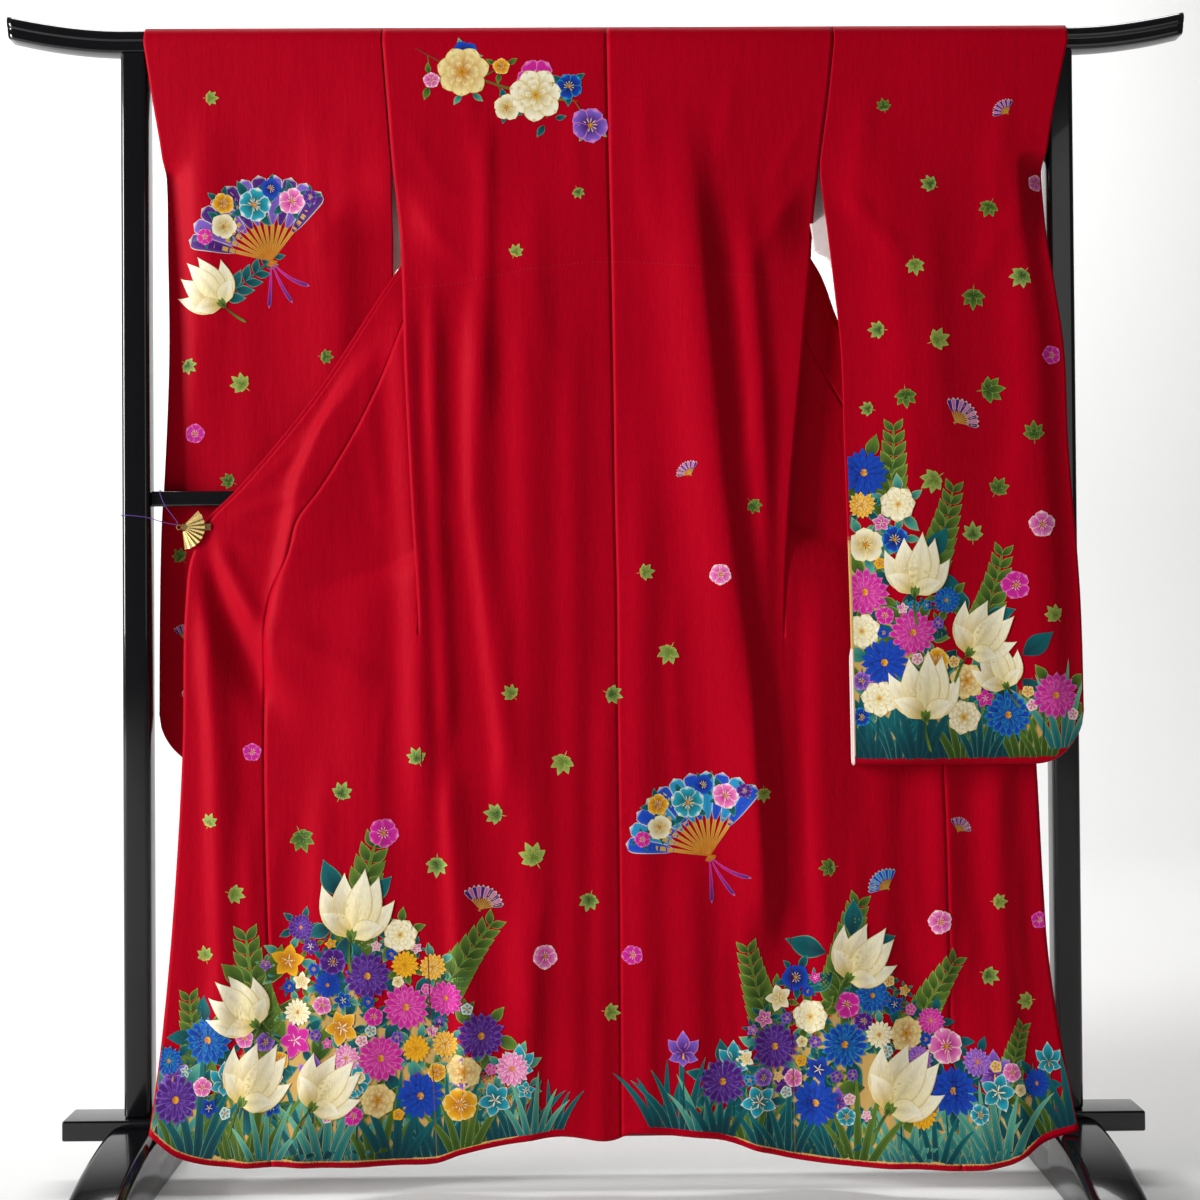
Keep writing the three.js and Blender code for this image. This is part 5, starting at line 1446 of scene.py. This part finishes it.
# The right sleeve: a bank that is highest on its body side, and leaves that blow out to the cuff.
for near, seed, count, outward in ((True, 41, 1.0, -1), (False, 61, 0.5, 1)):
    bag = Painting(seed)
    tufts(bag, 366, 676, lambda x: 5 + sleeve_right.bottom((x - 353) / 330), 104, 24)
    for x, z, angle in ((395, 930, 1.3), (450, 850, 1.1), (520, 760, 1.1)):
        bag.sprig(x, z, angle, 150, (MOSS, OLIVE, LEAF), 2, 8, 0.3)
    bank(bag, lambda x, z: 664 < z < sleeve_bank(x) and 362 < x < 668, (360, 625), (676, 1090), [
        (43, int(4 * count), 500), (34, int(6 * count), 500), (26, int(8 * count), 800),
        (20, int(20 * count), 1200), (14, int(34 * count), 1500), (9, int(44 * count), 1500)])
    drift(bag, [
        (470, 1000, 23), (524, 920, 20), (584, 850, 25), (640, 806, 18), (430, 1120, 20), (500, 1080, 24),
        (560, 985, 19), (622, 935, 23), (396, 1212, 17), (474, 1196, 21), (548, 1126, 25), (612, 1062, 20),
        (640, 1176, 17), (530, 1262, 22), (446, 1306, 18), (600, 1290, 21), (558, 1392, 18), (630, 1430, 16),
        (476, 1424, 17), (590, 1530, 15), (412, 1540, 14), (380, 1100, 14),
    ])
    bag.finish("pattern_sleeve_right" + ("" if near else "_far"), sleeve_surface(sleeve_right, near), outward)

# The left sleeve: an open fan with blossoms near the shoulder, and leaves that fall from it.
for near, seed, outward in ((True, 53, -1), (False, 67, 1)):
    bag = Painting(seed)
    bag.great_fan(-476, 1330, 124, 1.9, (PURPLE, VIOLET, CREAM), 3)
    bag.sprig(-560, 1270, 0.5, 120, (DEEP_TEAL, TEAL, JADE), 1, 6, 0.3)
    bag.magnolia(-545, 1265, 82, 2.3, 9)
    drift(bag, [
        (-600, 1180, 16), (-520, 1150, 20), (-590, 1080, 18), (-540, 1010, 15), (-612, 900, 15),
        (-606, 780, 16), (-400, 1190, 14), (-600, 700, 14), (-560, 1560, 14)])
    bag.finish("pattern_sleeve_left" + ("" if near else "_far"), sleeve_surface(sleeve_left, near), outward)

# The tuck that takes up spare length at the waist shows as a line of tiny stitches over the back.
TUCK_LINE = np.array([
    (-300, 1276), (-200, 1288), (-100, 1306), (8, 1317), (110, 1309), (200, 1296), (300, 1284)], dtype=float)
tuck_at = track(TUCK_LINE, 1)
stitches = Painting(5)
for x in np.arange(-270.0, 286.0, 5.2):
    stitches.patch(x, float(tuck_at(x)), 0.05, 0.0, 2.0, 0.28, STRAP, (STITCH,) * 3, 0)
stitches.finish("tuck_stitches", back_surface, -1)

# ---------------------------------------------------------------- clip
# A small brass spring clip shaped like a half-open folding fan. It grips the edge of the left
# front, and a purple thread ties its ring to the post and the middle rail.

brass, gloss, nodes, wire = shader("polished_brass", {"Metallic": 1.0})
where = add_node(nodes, "ShaderNodeTexCoord")
tarnish = add_node(nodes, "ShaderNodeTexNoise", Scale=180.0, Detail=4.0)
tint = add_node(nodes, "ShaderNodeMix", data_type="RGBA")
tint.inputs["A"].default_value = (0.78, 0.52, 0.17, 1.0)
tint.inputs["B"].default_value = (0.95, 0.72, 0.3, 1.0)
rubbed = add_node(nodes, "ShaderNodeMapRange", **{"To Min": 0.16, "To Max": 0.36})
wire(
    (where, "Object", tarnish, "Vector"), (tarnish, "Fac", tint, "Factor"),
    (tarnish, "Fac", rubbed, "Value"), (tint, "Result", gloss, "Base Color"),
    (rubbed, "Result", gloss, "Roughness"))

cord, gloss, nodes, wire = shader("purple_thread", {"Roughness": 0.6})
where = add_node(nodes, "ShaderNodeTexCoord")
twist = add_node(nodes, "ShaderNodeTexWave", Scale=900.0, Distortion=1.5)
strand = add_node(nodes, "ShaderNodeMix", data_type="RGBA")
strand.inputs["A"].default_value = (0.05, 0.012, 0.16, 1.0)
strand.inputs["B"].default_value = (0.13, 0.045, 0.34, 1.0)
wire(
    (where, "Object", twist, "Vector"), (twist, "Fac", strand, "Factor"),
    (strand, "Result", gloss, "Base Color"))

CLIP = {
    "x": -600.0, "y": -25.0, "z": 942.0, "inner": 7.0, "outer": 33.0, "from": -83.0, "to": 45.0,
    "pleats": 9, "depth": 1.1, "plate": 1.0,
}
columns, rows = CLIP["pleats"] * 8 + 1, 13
turn = np.radians(np.linspace(CLIP["from"], CLIP["to"], columns))[None, :]
scallop = 0.9 * np.abs(np.sin(np.linspace(0, CLIP["pleats"] * np.pi, columns)))[None, :]
radius = mix(CLIP["outer"], CLIP["inner"], np.linspace(0, 1, rows)[:, None])
radius = radius - scallop * smooth((radius - 24) / 8)
fold = np.arccos(0.97 * np.cos(np.linspace(0, CLIP["pleats"] * 2 * np.pi, columns))) / (np.pi / 2) - 1
ridge = fold[None, :] * CLIP["depth"] * radius / CLIP["outer"]
leaf = np.stack(np.broadcast_arrays(
    CLIP["x"] + radius * np.cos(turn), CLIP["y"] + ridge, CLIP["z"] + radius * np.sin(turn)), axis=-1)
points = leaf.reshape(-1, 3)
cells = grid_cells(rows, columns)
shell = np.concatenate([points - (0, CLIP["plate"] / 2, 0), points + (0, CLIP["plate"] / 2, 0)])
outline = np.concatenate([
    np.arange(columns), np.arange(1, rows) * columns + columns - 1,
    (rows - 1) * columns + np.arange(columns - 2, -1, -1), np.arange(rows - 2, 0, -1) * columns])
after = np.roll(outline, -1)
rim = np.stack([after, outline, outline + len(points), after + len(points)], axis=-1)
fan_faces = np.concatenate([cells, cells[:, ::-1] + len(points), rim])
fan = place_mesh("clip_fan_brass", shell, fan_faces.tolist(), [brass])
fan.data.polygons.foreach_set("use_smooth", np.zeros(len(fan_faces), dtype=bool))
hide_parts("clip_fan")
for name, material in (("clip_jaw", brass), ("clip_ring", brass), ("clip_thread", cord)):
    bpy.data.objects[name].data.materials.clear()
    bpy.data.objects[name].data.materials.append(material)

# ---------------------------------------------------------------- floor and light
# A plain pale floor that sweeps up behind, one tall soft light far out on the left, a weak one from
# the front, one on the backdrop, and a faint even surround.

plaster = shader("pale_floor", {"Base Color": (0.78, 0.78, 0.775, 1.0), "Roughness": 0.85})[0]
angle = np.linspace(0, np.pi / 2, 25)
profile_y = np.concatenate([[-9000.0], 3000.0 + 1200.0 * np.sin(angle), [4200.0]])
profile_z = np.concatenate([[0.0], 1200.0 * (1 - np.cos(angle)), [7000.0]])
sweep = np.stack(np.broadcast_arrays(
    np.array([-9000.0, 9000.0])[None, :], profile_y[:, None], profile_z[:, None]), axis=-1)
mesh = bpy.data.meshes.new("floor")
mesh.from_pydata((sweep.reshape(-1, 3) * MM).tolist(), [], grid_cells(len(profile_y), 2).tolist())
mesh.polygons.foreach_set("use_smooth", np.ones(len(mesh.polygons), dtype=bool))
mesh.materials.append(plaster)
floor = bpy.data.objects.new("floor", mesh)
scene.collection.objects.link(floor)


def soft_light(name, place, aim, size, power):
    """A rectangular area light that faces the point it is aimed at."""
    data = bpy.data.lights.new(name, "AREA")
    data.shape = "RECTANGLE"
    data.size, data.size_y = size
    data.energy = power
    light = bpy.data.objects.new(name, data)
    scene.collection.objects.link(light)
    light.location = place
    light.rotation_euler = (Vector(aim) - Vector(place)).to_track_quat("-Z", "Y").to_euler()


soft_light("key", (-5.6, -2.3, 2.3), (0.0, 0.0, 0.85), (1.3, 3.4), 520.0)
soft_light("fill", (1.6, -3.2, 1.8), (0.0, 0.0, 0.8), (1.4, 2.4), 11.0)
soft_light("backdrop", (0.0, 1.4, 4.2), (0.0, 4.0, 0.8), (4.0, 1.5), 170.0)
scene.view_settings.view_transform = "Standard"
world = bpy.data.worlds.new("surround")
scene.world = world
world.use_nodes = True
world.node_tree.nodes["Background"].inputs["Color"].default_value = (1.0, 1.0, 1.0, 1.0)
world.node_tree.nodes["Background"].inputs["Strength"].default_value = 0.09
